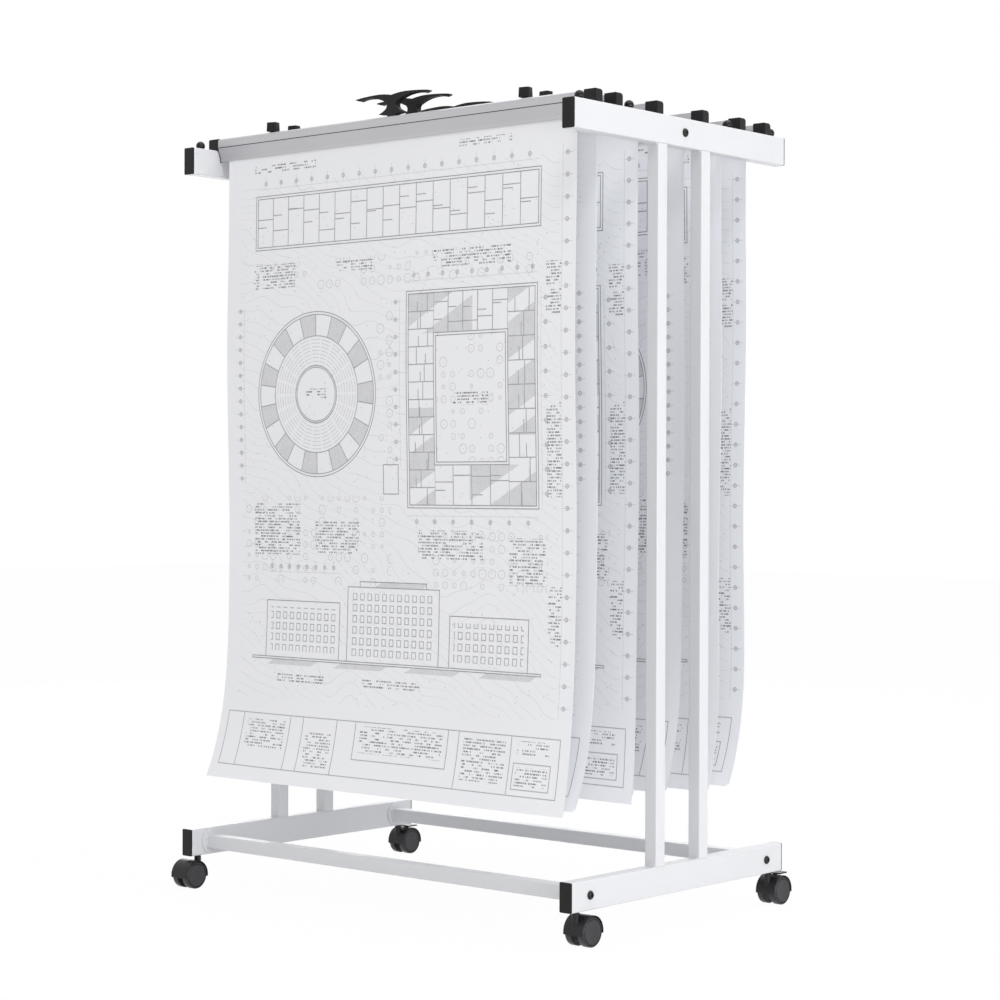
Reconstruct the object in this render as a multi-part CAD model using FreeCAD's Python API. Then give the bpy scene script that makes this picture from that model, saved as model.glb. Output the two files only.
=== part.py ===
"""Plan hanging rack: two wheeled side frames, three crossbars and six plan clamps.

Millimetres. +X is the rack's right, +Y its rear, +Z up. The origin is on the floor under the
centre of the rack. The front of a clamp is its -Y side.
"""
import FreeCAD
import Part
import math
import os

# Frame tubes
RACK_WIDTH = 940.0          # over the two side frames
RAIL_LENGTH = 600.0         # top rails and bottom bars, without their end caps
RAIL_WIDTH = 25.0
RAIL_HEIGHT = 50.0
FRAME_HEIGHT = 1326.0       # from a bottom bar's underside to a top rail's top
UPRIGHT_SIZE = 25.0
UPRIGHT_SPACING = 124.0     # between the centre lines of a frame's two uprights
CROSSBAR_SIZE = 25.0
CROSSBAR_INSET = 47.0       # from a bottom bar's end to a lower crossbar's centre line
TUBE_WALL = 1.5
TUBE_CORNER = 2.5

# Crossbar ends and bolts
FLANGE_RADIUS = 23.5
FLANGE_THICKNESS = 3.0
INSERT_LENGTH = 22.0
BOLT_RADIUS = 3.9
BOLT_HOLE_CLEARANCE = 0.3
THREAD_CLEARANCE = 0.1
BOLT_HEAD_RADIUS = 7.5
BOLT_HEAD_HEIGHT = 4.2
BOLT_SOCKET_FLATS = 5.0
BOLT_SOCKET_DEPTH = 2.6

# End caps of the frame tubes
END_CAP_THICKNESS = 3.0
END_CAP_EDGE = 1.0
END_CAP_PLUG_LENGTH = 12.0
END_CAP_PLUG_WALL = 2.0
PLUG_CLEARANCE = 0.1

# Dome stops on the top rails
STOP_RADIUS = 8.5
STOP_MIDDLE = 6.2           # of its ball, above the rail
STOP_STUD_RADIUS = 2.9
STOP_STUD_LENGTH = 6.0
STOP_STUD_CLEARANCE = 0.1
OUTER_STOP_INSET = 27.0     # from a rail's end to its outer stops
INNER_STOP_SHARE = 0.47     # of a rail's length, between its two inner stops

# Casters
CASTER_HEIGHT = 60.0        # floor to the bottom bar's underside
CASTER_INSET = 25.0         # from a bar's end to the swivel axis
CASTER_OFFSET = 20.0        # from the swivel axis to the axle
WHEEL_RADIUS = 25.0
WHEEL_WIDTH = 12.8
WHEEL_EDGE = 1.5
WHEEL_GROOVE_DEPTH = 1.0
WHEEL_GROOVE_WIDTH = 1.2
WHEEL_RIM = 3.0
AXLE_RADIUS = 3.0
HUB_HALF_WIDTH = 6.4
HUB_GAP = 0.8               # between the hub and each wheel
HUB_RADIUS = 7.5
HOOD_GAP = 1.2              # between the wheels' treads and the hood
HOOD_WALL = 1.6
HOOD_OVERHANG = 0.1         # of the hood past the wheels' outer faces
HOOD_DROP = 4.0             # of the hood's lower edges below the axle
STEM_RADIUS = 5.5
STEM_LENGTH = 30.0          # inside the bottom bar
STEM_BOSS_RADIUS = 6.4
STEM_BOSS_GAP = 3.0         # from the boss to the bottom bar
RECESS_RADIUS = 11.0
RECESS_DEPTH = 16.0
SOCKET_WALL = 2.4
RUNNING_CLEARANCE = 0.05    # radial, of shafts in their holes

# Brake pedals of the rear casters
PEDAL_WIDTH = 24.0
PEDAL_THICKNESS = 2.4
PEDAL_TIP = 26.0            # behind the axle
PEDAL_NECK_WIDTH = 6.0
PEDAL_NECK_LENGTH = 7.0
PEDAL_SIDE_GAP = 0.4
PEDAL_HOOD_GAP = 0.8
PEDAL_PIVOT_OFFSET = 4.0    # behind the axle
PEDAL_PIVOT_DROP = 5.0      # below the treads' top
PEDAL_PIN_RADIUS = 1.5
PEDAL_HUB_RADIUS = 3.2
PEDAL_SLOT_GAP = 1.0

# Plan clamps: front bar
CLAMP_DEPTH = 25.0
CLAMP_OVERLAP = 23.0        # of an end cap on its rail
RAIL_SIDE_GAP = 3.0         # from the clamp's hanging part to each rail's inner face
REST_GAP = 0.3              # between an end cap and the rail it slides on
BOX_TOP = 20.6              # above the rail's top, as the next five
BOX_BOTTOM = 5.0
GROOVE_BOTTOM = 3.5
PAD_TOP = -15.4
FLANGE_BOTTOM = -21.4
BAR_WALL = 1.8
BAR_CHAMFER = 2.0
GROOVE_DEPTH = 1.1
FLANGE_RUN = 7.0            # how far the flange slopes back

# Plan clamps: hinged jaw
HINGE_INSET = 3.5           # from the bar's top and from the clamp's back to the hinge axis
HINGE_BEAD_RADIUS = 2.0
HINGE_CLEARANCE = 0.08
HINGE_MOUTH_ANGLE = 74.0
HINGE_MOUTH_TURN = 4.0      # of the mouth's middle, from straight down towards the rear
JAW_WALL = 1.6
JAW_GAP = 0.3               # between the jaw and the plans
JAW_END_GAP = 0.5
JAW_KNEE = 2.6              # above the rail's top
ARM_TOP = 9.0               # above the rail's top
ARM_FRONT_GAP = 2.7         # from the arm to the bar's front wall
NUT_SIZE = 16.0
NUT_HEIGHT = 2.5
NUT_SLOT_WIDTH = 8.0
NUT_SLOT_LENGTH = 13.0

# Plan clamps: knobs, handle and end caps
KNOB_INSET = 136.0          # from an end of the bar to a knob's axis
KNOB_WIDTH = 21.0
KNOB_DEPTH = 17.0
KNOB_HEIGHT = 16.5
KNOB_EDGE = 3.0
KNOB_COLLAR_RADIUS = 4.6
KNOB_COLLAR_HEIGHT = 3.0
KNOB_SEAT_GAP = 0.3
SCREW_RADIUS = 2.9
SCREW_CLEARANCE = 0.1
SCREW_END = 5.0             # above the rail's top
CLIP_RADIUS = 4.5
CLIP_THICKNESS = 1.0
HANDLE_DEPTH = 12.5
HANDLE_HEIGHT = 38.8        # at the notch in its middle
HANDLE_CREST = 42.2
HANDLE_SPAN = 174.0
HANDLE_WAIST = 22.0
HANDLE_FOOT = 59.0          # over the two feet
HANDLE_FOOT_RISE = 6.2      # of the feet's tips above the bar
HANDLE_BOSS_WIDTH = 19.0
HANDLE_BOSS_HEIGHT = 3.8
HANDLE_PEG_SPACING = 11.0
HANDLE_PEG_RADIUS = 2.5
HANDLE_PEG_LENGTH = 4.0
CLAMP_CAP_TOP = 21.6        # above the rail's top
CLAMP_CAP_DEPTH = 19.0      # of the shoe, from the clamp's front
CLAMP_CAP_ROUND = 6.0       # along the shoe's rear top edge
CLAMP_CAP_EDGE = 2.5        # along its outer top edge
CLAMP_CAP_PLATE = 2.0
CLAMP_CAP_PLUG_LENGTH = 12.0
CLAMP_CAP_PLUG_SIZE = 6.6
CLAMP_CAP_MARGIN = 0.6      # of the fin below the flange

# Sets of plans: A0 sheets, 841 x 1189, so the frame's height gives their length
PLAN_WIDTH = 841.0
PLAN_THICKNESS = 1.0
PLAN_TOP = 4.6              # above the rail's top
PLAN_FLOOR_GAP = 201.6      # under the plans, where they hang straight
PLAN_CURL_HEIGHT = 345.0    # of the curled stretch

X_AXIS = FreeCAD.Vector(1, 0, 0)
Y_AXIS = FreeCAD.Vector(0, 1, 0)
Z_AXIS = FreeCAD.Vector(0, 0, 1)
CENTRE = FreeCAD.Vector(0, 0, 0)
SIDES = (("left", -1), ("right", 1))

# Places that follow from the sizes above
RAIL_X = (RACK_WIDTH - RAIL_WIDTH) / 2
INNER_X = RACK_WIDTH / 2 - RAIL_WIDTH
BAR_BASE = CASTER_HEIGHT
RAIL_TOP = CASTER_HEIGHT + FRAME_HEIGHT
LOWER_BAR_MIDDLE = BAR_BASE + RAIL_HEIGHT / 2
TOP_RAIL_MIDDLE = RAIL_TOP - RAIL_HEIGHT / 2
PLAN_LENGTH = RAIL_TOP + PLAN_TOP - PLAN_FLOOR_GAP
OUTER_STOP_Y = RAIL_LENGTH / 2 - OUTER_STOP_INSET
INNER_STOP_Y = RAIL_LENGTH * INNER_STOP_SHARE / 2
CROSSBAR_Y = RAIL_LENGTH / 2 - CROSSBAR_INSET
CASTER_Y = RAIL_LENGTH / 2 - CASTER_INSET
HALF_DEPTH = CLAMP_DEPTH / 2
BAR_HALF_LENGTH = INNER_X - RAIL_SIDE_GAP
KNOB_X = BAR_HALF_LENGTH - KNOB_INSET
FLANGE_BACK = -HALF_DEPTH + FLANGE_RUN + BAR_WALL

# Clamp name, the stop it is placed from, its distance behind that stop, and how far the lower
# edge of its plans has curled forward
CLAMPS = (
    ("a", -OUTER_STOP_Y, 43.0, 42.0),
    ("b", -INNER_STOP_Y, -35.0, 58.0),
    ("c", -INNER_STOP_Y, 77.0, 18.0),
    ("d", INNER_STOP_Y, -74.0, 50.0),
    ("e", INNER_STOP_Y, 37.0, 32.0),
    ("f", OUTER_STOP_Y, -18.0, 51.0),
)

# Caster name, side, end of the bar, which way the axle trails, and whether it has a brake
CASTERS = (
    ("front_left", -1, -1, -1, False),
    ("front_right", 1, -1, 1, False),
    ("rear_left", -1, 1, 1, True),
    ("rear_right", 1, 1, 1, True),
)


def point(x, y, z):
    return FreeCAD.Vector(x, y, z)


def moved(shape, x=0.0, y=0.0, z=0.0):
    """A copy of a shape, moved."""
    copy = shape.copy()
    copy.translate(point(x, y, z))
    return copy


def turned(shape, axis, angle):
    """A copy of a shape, turned about an axis through the origin."""
    copy = shape.copy()
    copy.rotate(CENTRE, axis, angle)
    return copy


def block(x_range, y_range, z_range):
    size = [high - low for low, high in (x_range, y_range, z_range)]
    return Part.makeBox(*size, point(x_range[0], y_range[0], z_range[0]))


def cylinder_z(radius, low, high, x=0.0, y=0.0):
    return Part.makeCylinder(radius, high - low, point(x, y, low), Z_AXIS)


def cylinder_x(radius, low, high, y=0.0, z=0.0):
    return Part.makeCylinder(radius, high - low, point(low, y, z), X_AXIS)


def rounded_rectangle(width, height, radius):
    """A closed wire in the XY plane, centred on the origin."""
    across = width / 2 - radius
    up = height / 2 - radius
    centres = ((across, up), (-across, up), (-across, -up), (across, -up))
    arcs = []
    for quarter, (x, y) in enumerate(centres):
        arcs.append(Part.makeCircle(radius, point(x, y, 0), Z_AXIS, 90 * quarter, 90 * quarter + 90))
    edges = []
    for arc, following in zip(arcs, arcs[1:] + arcs[:1]):
        edges.append(arc)
        edges.append(Part.makeLine(arc.lastVertex().Point, following.firstVertex().Point))
    return Part.Wire(edges)


def prism(width, height, radius, length):
    """A bar with rounded corners along +Z, centred on the origin."""
    bar = Part.Face(rounded_rectangle(width, height, radius)).extrude(Z_AXIS * length)
    return moved(bar, z=-length / 2)


def inner_corner():
    return max(TUBE_CORNER - TUBE_WALL, 0.5)


def tube(width, height, length):
    """A rectangular tube along Z, centred on the origin."""
    bore = prism(width - 2 * TUBE_WALL, height - 2 * TUBE_WALL, inner_corner(), length)
    return prism(width, height, TUBE_CORNER, length).cut(bore)


def profile_prism(points, half_length):
    """A section drawn in (y, z) points, extruded along X about the origin."""
    corners = [point(-half_length, y, z) for y, z in points]
    section = Part.Face(Part.makePolygon(corners + corners[:1]))
    return section.extrude(X_AXIS * 2 * half_length)


def revolved(points, axis, arcs=()):
    """A solid of revolution about Z or X from (radius, height) points.

    An arc is given as (index of its first point, its middle point), and replaces that edge.
    """
    middles = dict(arcs)
    place = (lambda r, h: point(r, 0, h)) if axis is Z_AXIS else (lambda r, h: point(h, r, 0))
    corners = [place(*pair) for pair in points]
    edges = []
    for index, start in enumerate(corners):
        end = corners[(index + 1) % len(corners)]
        if index in middles:
            edges.append(Part.Arc(start, place(*middles[index]), end).toShape())
        else:
            edges.append(Part.makeLine(start, end))
    return Part.Face(Part.Wire(edges)).revolve(CENTRE, axis, 360)


def long_tube():
    """A 50 x 25 tube along Y, the section of the rails and the bottom bars."""
    return turned(tube(RAIL_WIDTH, RAIL_HEIGHT, RAIL_LENGTH), X_AXIS, 90)


def stop_places():
    return [-OUTER_STOP_Y, -INNER_STOP_Y, INNER_STOP_Y, OUTER_STOP_Y]


def bolt_places():
    """(y, z) of the bolts in a side frame."""
    lower = [(end * CROSSBAR_Y, LOWER_BAR_MIDDLE) for end in (-1, 1)]
    return lower + [(0.0, TOP_RAIL_MIDDLE)]


def side_frame(side):
    """A welded side frame: rail, bottom bar, two uprights and two caster sockets."""
    x = side * RAIL_X
    rail = moved(long_tube(), x, 0, TOP_RAIL_MIDDLE)
    bar = moved(long_tube(), x, 0, LOWER_BAR_MIDDLE)
    hole_radius = BOLT_RADIUS + BOLT_HOLE_CLEARANCE
    for y, z in bolt_places():
        hole = cylinder_x(hole_radius, x - RAIL_WIDTH, x + RAIL_WIDTH, y, z)
        rail = rail.cut(hole)
        bar = bar.cut(hole)
    for y in stop_places():
        stud_hole = cylinder_z(STOP_STUD_RADIUS + STOP_STUD_CLEARANCE, TOP_RAIL_MIDDLE, RAIL_TOP + 1, x, y)
        rail = rail.cut(stud_hole)
    stem_hole = STEM_RADIUS + RUNNING_CLEARANCE
    solids = []
    for y in (-CASTER_Y, CASTER_Y):
        bar = bar.cut(cylinder_z(stem_hole, BAR_BASE - 1, LOWER_BAR_MIDDLE, x, y))
        low = BAR_BASE + TUBE_WALL
        high = BAR_BASE + RAIL_HEIGHT - TUBE_WALL
        socket = cylinder_z(stem_hole + SOCKET_WALL, low, high, x, y)
        solids.append(socket.cut(cylinder_z(stem_hole, low, high, x, y)))
    upright_length = FRAME_HEIGHT - 2 * RAIL_HEIGHT
    for end in (-1, 1):
        upright = tube(UPRIGHT_SIZE, UPRIGHT_SIZE, upright_length)
        solids.append(moved(upright, x, end * UPRIGHT_SPACING / 2, BAR_BASE + FRAME_HEIGHT / 2))
    return Part.makeCompound([rail, bar] + solids)


def crossbar(y, z):
    """A crossbar along X with its end flanges and threaded inserts."""
    half = INNER_X - FLANGE_THICKNESS
    inside = CROSSBAR_SIZE - 2 * TUBE_WALL
    bar = tube(CROSSBAR_SIZE, CROSSBAR_SIZE, 2 * half)
    for end in (-1, 1):
        flange = cylinder_z(FLANGE_RADIUS, 0, FLANGE_THICKNESS)
        bar = bar.fuse(moved(flange, z=half if end > 0 else -INNER_X))
        insert = prism(inside, inside, inner_corner(), INSERT_LENGTH)
        bar = bar.fuse(moved(insert, z=end * (half - INSERT_LENGTH / 2)))
    bar = bar.removeSplitter()
    bore = BOLT_RADIUS + THREAD_CLEARANCE
    for low, high in ((-INNER_X - 1, INSERT_LENGTH - half), (half - INSERT_LENGTH, INNER_X + 1)):
        bar = bar.cut(cylinder_z(bore, low, high))
    return moved(turned(bar, Y_AXIS, 90), 0, y, z)


def frame_bolt(side, y, z):
    """A button-head bolt along X, its head on the outside of the side frame."""
    crown = BOLT_HEAD_RADIUS * 0.45
    shoulder = BOLT_HEAD_HEIGHT * 0.25
    tip = -(RAIL_WIDTH + FLANGE_THICKNESS + INSERT_LENGTH * 0.7)
    outline = (
        (0, tip),
        (BOLT_RADIUS, tip),
        (BOLT_RADIUS, 0),
        (BOLT_HEAD_RADIUS, 0),
        (BOLT_HEAD_RADIUS, shoulder),
        (crown, BOLT_HEAD_HEIGHT),
        (0, BOLT_HEAD_HEIGHT),
    )
    middle = (BOLT_HEAD_RADIUS * 0.83, BOLT_HEAD_HEIGHT * 0.72)
    bolt = revolved(outline, Z_AXIS, arcs=((4, middle),))
    reach = BOLT_SOCKET_FLATS / math.sqrt(3)
    corners = [point(reach * math.cos(math.radians(60 * k)), reach * math.sin(math.radians(60 * k)), 0)
               for k in range(7)]
    socket = Part.Face(Part.makePolygon(corners)).extrude(Z_AXIS * BOLT_SOCKET_DEPTH)
    bolt = bolt.cut(moved(socket, z=BOLT_HEAD_HEIGHT - BOLT_SOCKET_DEPTH))
    return moved(turned(bolt, Y_AXIS, side * 90), side * RACK_WIDTH / 2, y, z)


def rail_end_cap(side, end, z):
    """A moulded cap for the end of a rail or bottom bar, with its hollow plug."""
    plate = prism(RAIL_WIDTH, RAIL_HEIGHT, TUBE_CORNER, END_CAP_THICKNESS)
    rim = [edge for edge in plate.Edges if edge.BoundBox.ZMin > END_CAP_THICKNESS / 2 - 0.01]
    plate = plate.makeChamfer(END_CAP_EDGE, rim)
    shrink = 2 * (TUBE_WALL + PLUG_CLEARANCE)
    wide = RAIL_WIDTH - shrink
    tall = RAIL_HEIGHT - shrink
    hollow = 2 * END_CAP_PLUG_WALL
    plug = prism(wide, tall, inner_corner(), END_CAP_PLUG_LENGTH)
    plug = plug.cut(prism(wide - hollow, tall - hollow, inner_corner(), END_CAP_PLUG_LENGTH))
    cap = plate.fuse(moved(plug, z=-(END_CAP_THICKNESS + END_CAP_PLUG_LENGTH) / 2)).removeSplitter()
    cap = turned(cap, X_AXIS, -90 * end)
    return moved(cap, side * RAIL_X, end * (RAIL_LENGTH + END_CAP_THICKNESS) / 2, z)


def dome_stop(side, y):
    """A dome stop on a top rail, with the stud that plugs into it."""
    foot_radius = math.sqrt(STOP_RADIUS ** 2 - STOP_MIDDLE ** 2)
    outline = (
        (0, -STOP_STUD_LENGTH),
        (STOP_STUD_RADIUS, -STOP_STUD_LENGTH),
        (STOP_STUD_RADIUS, 0),
        (foot_radius, 0),
        (0, STOP_MIDDLE + STOP_RADIUS),
    )
    stop = revolved(outline, Z_AXIS, arcs=((3, (STOP_RADIUS, STOP_MIDDLE)),))
    return moved(stop, side * RAIL_X, y, RAIL_TOP)


def wheel_outer():
    """Half of the width over both wheels of a caster."""
    return HUB_HALF_WIDTH + HUB_GAP + WHEEL_WIDTH


def caster_wheels():
    """The two wheels of a caster on their axle, about the X axis."""
    inner = HUB_HALF_WIDTH + HUB_GAP
    outer = wheel_outer()
    rim = WHEEL_RADIUS - WHEEL_RIM
    floor = outer - WHEEL_GROOVE_DEPTH
    half = (
        (AXLE_RADIUS, inner),
        (WHEEL_RADIUS - WHEEL_EDGE, inner),
        (WHEEL_RADIUS, inner + WHEEL_EDGE),
        (WHEEL_RADIUS, outer - WHEEL_EDGE),
        (WHEEL_RADIUS - WHEEL_EDGE, outer),
        (rim, outer),
        (rim, floor),
        (rim - WHEEL_GROOVE_WIDTH, floor),
        (rim - WHEEL_GROOVE_WIDTH, outer),
        (0, outer),
    )
    mirrored = tuple((radius, -x) for radius, x in reversed(half))
    return revolved(half + mirrored, X_AXIS)


def caster_housing(braked):
    """A caster's hood, hub and stem. The axle is the X axis and the stem stands at -CASTER_OFFSET."""
    shell_inner = WHEEL_RADIUS + HOOD_GAP
    shell_outer = shell_inner + HOOD_WALL
    half_width = wheel_outer() + HOOD_OVERHANG
    drum = cylinder_x(shell_outer, -half_width, half_width)
    drum = drum.cut(cylinder_x(shell_inner, -half_width, half_width))
    hub = cylinder_x(shell_inner + HOOD_WALL / 2, -HUB_HALF_WIDTH, HUB_HALF_WIDTH)
    below = block((-100, 100), (-100, 100), (-100, -HOOD_DROP))
    boss_top = CASTER_HEIGHT - WHEEL_RADIUS - STEM_BOSS_GAP
    housing = drum.fuse(hub).cut(below)
    recess_bottom = boss_top - RECESS_DEPTH
    recess = Part.makeCone(0.5, RECESS_RADIUS, RECESS_DEPTH, point(0, -CASTER_OFFSET, recess_bottom), Z_AXIS)
    housing = housing.cut(recess)
    housing = housing.fuse(cylinder_z(STEM_BOSS_RADIUS, HUB_RADIUS, boss_top, 0, -CASTER_OFFSET))
    housing = housing.fuse(cylinder_x(HUB_RADIUS, -HUB_HALF_WIDTH, HUB_HALF_WIDTH))
    stem_top = CASTER_HEIGHT - WHEEL_RADIUS + STEM_LENGTH
    housing = housing.fuse(cylinder_z(STEM_RADIUS, boss_top - 1, stem_top, 0, -CASTER_OFFSET))
    bore = AXLE_RADIUS + RUNNING_CLEARANCE
    housing = housing.cut(cylinder_x(bore, -half_width, half_width))
    if braked:
        slot_half = PEDAL_NECK_WIDTH / 2 + PEDAL_SIDE_GAP
        pivot_y, pivot_z = pedal_pivot()
        reach = PEDAL_HUB_RADIUS + PEDAL_SLOT_GAP
        slot = block((-slot_half, slot_half), (pivot_y - reach, pivot_y + PEDAL_NECK_LENGTH + reach),
                     (pivot_z - reach, shell_outer + 1))
        housing = housing.cut(slot)
        pin_hole = PEDAL_PIN_RADIUS + RUNNING_CLEARANCE
        housing = housing.cut(cylinder_x(pin_hole, -HUB_HALF_WIDTH, HUB_HALF_WIDTH, pivot_y, pivot_z))
    return housing.removeSplitter()


def pedal_pivot():
    """(y, z) of a brake pedal's pin, from the axle."""
    return PEDAL_PIVOT_OFFSET, WHEEL_RADIUS - PEDAL_PIVOT_DROP


def brake_pedal():
    """A brake pedal with its pin, in the housing's place."""
    pivot_y, pivot_z = pedal_pivot()
    underside = WHEEL_RADIUS + HOOD_GAP + HOOD_WALL + PEDAL_HOOD_GAP
    top = underside + PEDAL_THICKNESS
    neck_half = PEDAL_NECK_WIDTH / 2
    hub = cylinder_x(PEDAL_HUB_RADIUS, -neck_half, neck_half, pivot_y, pivot_z)
    neck = block((-neck_half, neck_half), (pivot_y - PEDAL_HUB_RADIUS, pivot_y + PEDAL_HUB_RADIUS),
                 (pivot_z, top))
    plate = block((-PEDAL_WIDTH / 2, PEDAL_WIDTH / 2), (pivot_y - PEDAL_HUB_RADIUS, PEDAL_TIP),
                  (underside, top))
    corners = [edge for edge in plate.Edges
               if edge.BoundBox.ZLength > PEDAL_THICKNESS / 2 and edge.BoundBox.YMin > pivot_y]
    plate = plate.makeFillet(PEDAL_THICKNESS, corners)
    pin = cylinder_x(PEDAL_PIN_RADIUS, -HUB_HALF_WIDTH, HUB_HALF_WIDTH, pivot_y, pivot_z)
    return hub.fuse(neck).fuse(plate).fuse(pin).removeSplitter()


def caster_placed(shape, side, end, trail):
    """A caster piece, drawn about its axle, at its corner of the rack."""
    if trail < 0:
        shape = turned(shape, Z_AXIS, 180)
    return moved(shape, side * RAIL_X, end * CASTER_Y + trail * CASTER_OFFSET, WHEEL_RADIUS)


def hinge_place():
    """(y, z) of a jaw's hinge axis, from the clamp's middle and the rail's top."""
    return HALF_DEPTH - HINGE_INSET, BOX_TOP - HINGE_INSET


def slope_offset(run, drop, thickness):
    """How far apart, across, the two sides of a sloping wall lie."""
    return thickness * math.hypot(run, drop) / drop


def clamp_bar():
    """The front bar of a clamp: box, hinge socket and sloping flange."""
    front = -HALF_DEPTH
    drop = GROOVE_BOTTOM - PAD_TOP
    offset = slope_offset(FLANGE_RUN, drop, BAR_WALL)
    inner_pad_top = GROOVE_BOTTOM - (FLANGE_BACK - front - offset) * drop / FLANGE_RUN
    inner_top = BOX_TOP - BAR_WALL
    hinge_y, hinge_z = hinge_place()
    section = (
        (hinge_y, BOX_TOP),
        (front + BAR_CHAMFER, BOX_TOP),
        (front, BOX_TOP - BAR_CHAMFER),
        (front, BOX_BOTTOM),
        (front + GROOVE_DEPTH, BOX_BOTTOM),
        (front + GROOVE_DEPTH, GROOVE_BOTTOM),
        (front, GROOVE_BOTTOM),
        (front + FLANGE_RUN, PAD_TOP),
        (front + FLANGE_RUN, FLANGE_BOTTOM),
        (FLANGE_BACK, FLANGE_BOTTOM),
        (FLANGE_BACK, inner_pad_top),
        (front + offset + 0.4, GROOVE_BOTTOM - 1),
        (front + BAR_WALL + 0.5, BOX_BOTTOM),
        (front + BAR_WALL, BOX_BOTTOM + 1),
        (front + BAR_WALL, inner_top),
        (hinge_y, inner_top),
    )
    bar = profile_prism(section, BAR_HALF_LENGTH)
    bar = bar.fuse(cylinder_x(HINGE_INSET, -BAR_HALF_LENGTH, BAR_HALF_LENGTH, hinge_y, hinge_z))
    socket_radius = HINGE_BEAD_RADIUS + HINGE_CLEARANCE
    bar = bar.cut(cylinder_x(socket_radius, -BAR_HALF_LENGTH, BAR_HALF_LENGTH, hinge_y, hinge_z))
    mouth = [(hinge_y, hinge_z)]
    for side in (-1, 1):
        angle = math.radians(270 + HINGE_MOUTH_TURN + side * HINGE_MOUTH_ANGLE / 2)
        mouth.append((hinge_y + 2 * HINGE_INSET * math.cos(angle), hinge_z + 2 * HINGE_INSET * math.sin(angle)))
    bar = bar.cut(profile_prism(mouth, BAR_HALF_LENGTH))
    screw_hole = SCREW_RADIUS + SCREW_CLEARANCE
    peg_hole = HANDLE_PEG_RADIUS + PLUG_CLEARANCE
    for side in (-1, 1):
        for x, radius in ((KNOB_X, screw_hole), (HANDLE_PEG_SPACING / 2, peg_hole)):
            bar = bar.cut(cylinder_z(radius, inner_top - 1, BOX_TOP + 1, side * x, 0))
    return bar.removeSplitter()


def clamp_jaw():
    """The hinged rear jaw of a clamp, with the arm that its screws pull up."""
    hinge_y, hinge_z = hinge_place()
    half_length = BAR_HALF_LENGTH - JAW_END_GAP
    back = hinge_y + JAW_WALL / 2
    pad_front = FLANGE_BACK + PLAN_THICKNESS + JAW_GAP
    pad_back = pad_front + JAW_WALL
    run = back - pad_back
    drop = JAW_KNEE - PAD_TOP
    offset = slope_offset(run, drop, JAW_WALL)
    arm_front = -HALF_DEPTH + BAR_WALL + ARM_FRONT_GAP
    arm_bottom = ARM_TOP - JAW_WALL
    inner_knee = JAW_KNEE + (offset - JAW_WALL) * drop / run
    inner_pad_top = PAD_TOP + (offset - JAW_WALL) * drop / run
    section = (
        (back, hinge_z),
        (back, JAW_KNEE),
        (pad_back, PAD_TOP),
        (pad_back, FLANGE_BOTTOM),
        (pad_front, FLANGE_BOTTOM),
        (pad_front, inner_pad_top),
        (back - JAW_WALL, inner_knee),
        (back - JAW_WALL, arm_bottom),
        (arm_front, arm_bottom),
        (arm_front, ARM_TOP),
        (back - JAW_WALL, ARM_TOP),
        (back - JAW_WALL, hinge_z),
    )
    jaw = profile_prism(section, half_length)
    jaw = jaw.fuse(cylinder_x(HINGE_BEAD_RADIUS, -half_length, half_length, hinge_y, hinge_z))
    for side in (-1, 1):
        x = side * KNOB_X
        half_nut = NUT_SIZE / 2
        nut_back = min(half_nut, back - JAW_WALL)
        nut = block((x - half_nut, x + half_nut), (arm_front, nut_back), (ARM_TOP - 0.5, ARM_TOP + NUT_HEIGHT))
        jaw = jaw.fuse(nut)
        slot = prism(NUT_SLOT_WIDTH, NUT_SLOT_LENGTH, NUT_SLOT_WIDTH / 2 - 0.1, 4 * NUT_HEIGHT)
        jaw = jaw.cut(moved(slot, x, 0, ARM_TOP))
    return jaw.removeSplitter()


def clamp_end_cap(side):
    """The black cap at one end of a clamp: plate, fin, plug and the shoe on the rail."""
    front = -HALF_DEPTH
    inner = BAR_HALF_LENGTH
    outer = INNER_X + CLAMP_OVERLAP
    rear = front + CLAMP_CAP_DEPTH
    shoe = block((inner, outer), (front, rear), (REST_GAP, CLAMP_CAP_TOP))
    top_edges = [edge for edge in shoe.Edges if edge.BoundBox.ZMin > CLAMP_CAP_TOP - 0.01]
    rear_edge = [edge for edge in top_edges if edge.BoundBox.YMin > rear - 0.01]
    shoe = shoe.makeFillet(CLAMP_CAP_ROUND, rear_edge)
    outer_edge = [edge for edge in shoe.Edges
                  if edge.BoundBox.XMin > outer - 0.01 and edge.BoundBox.ZMin > CLAMP_CAP_TOP - 0.01]
    shoe = shoe.makeFillet(CLAMP_CAP_EDGE, outer_edge)
    fin = (
        (front, CLAMP_CAP_TOP / 2),
        (front, GROOVE_BOTTOM),
        (front + FLANGE_RUN, PAD_TOP),
        (front + FLANGE_RUN, FLANGE_BOTTOM - CLAMP_CAP_MARGIN),
        (FLANGE_BACK + PLAN_THICKNESS + JAW_WALL + JAW_GAP, FLANGE_BOTTOM - CLAMP_CAP_MARGIN),
        (HALF_DEPTH, GROOVE_BOTTOM),
        (HALF_DEPTH, CLAMP_CAP_TOP / 2),
    )
    corners = [point(inner, y, z) for y, z in fin]
    plate = Part.Face(Part.makePolygon(corners + corners[:1])).extrude(X_AXIS * CLAMP_CAP_PLATE)
    plug_front = front + BAR_WALL + PLUG_CLEARANCE
    plug_top = BOX_TOP - BAR_WALL - PLUG_CLEARANCE
    plug = block((inner - CLAMP_CAP_PLUG_LENGTH, inner), (plug_front, plug_front + CLAMP_CAP_PLUG_SIZE),
                 (plug_top - CLAMP_CAP_PLUG_SIZE, plug_top))
    cap = shoe.fuse(plate).fuse(plug).removeSplitter()
    if side < 0:
        cap = cap.mirror(CENTRE, X_AXIS)
    return cap


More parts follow.
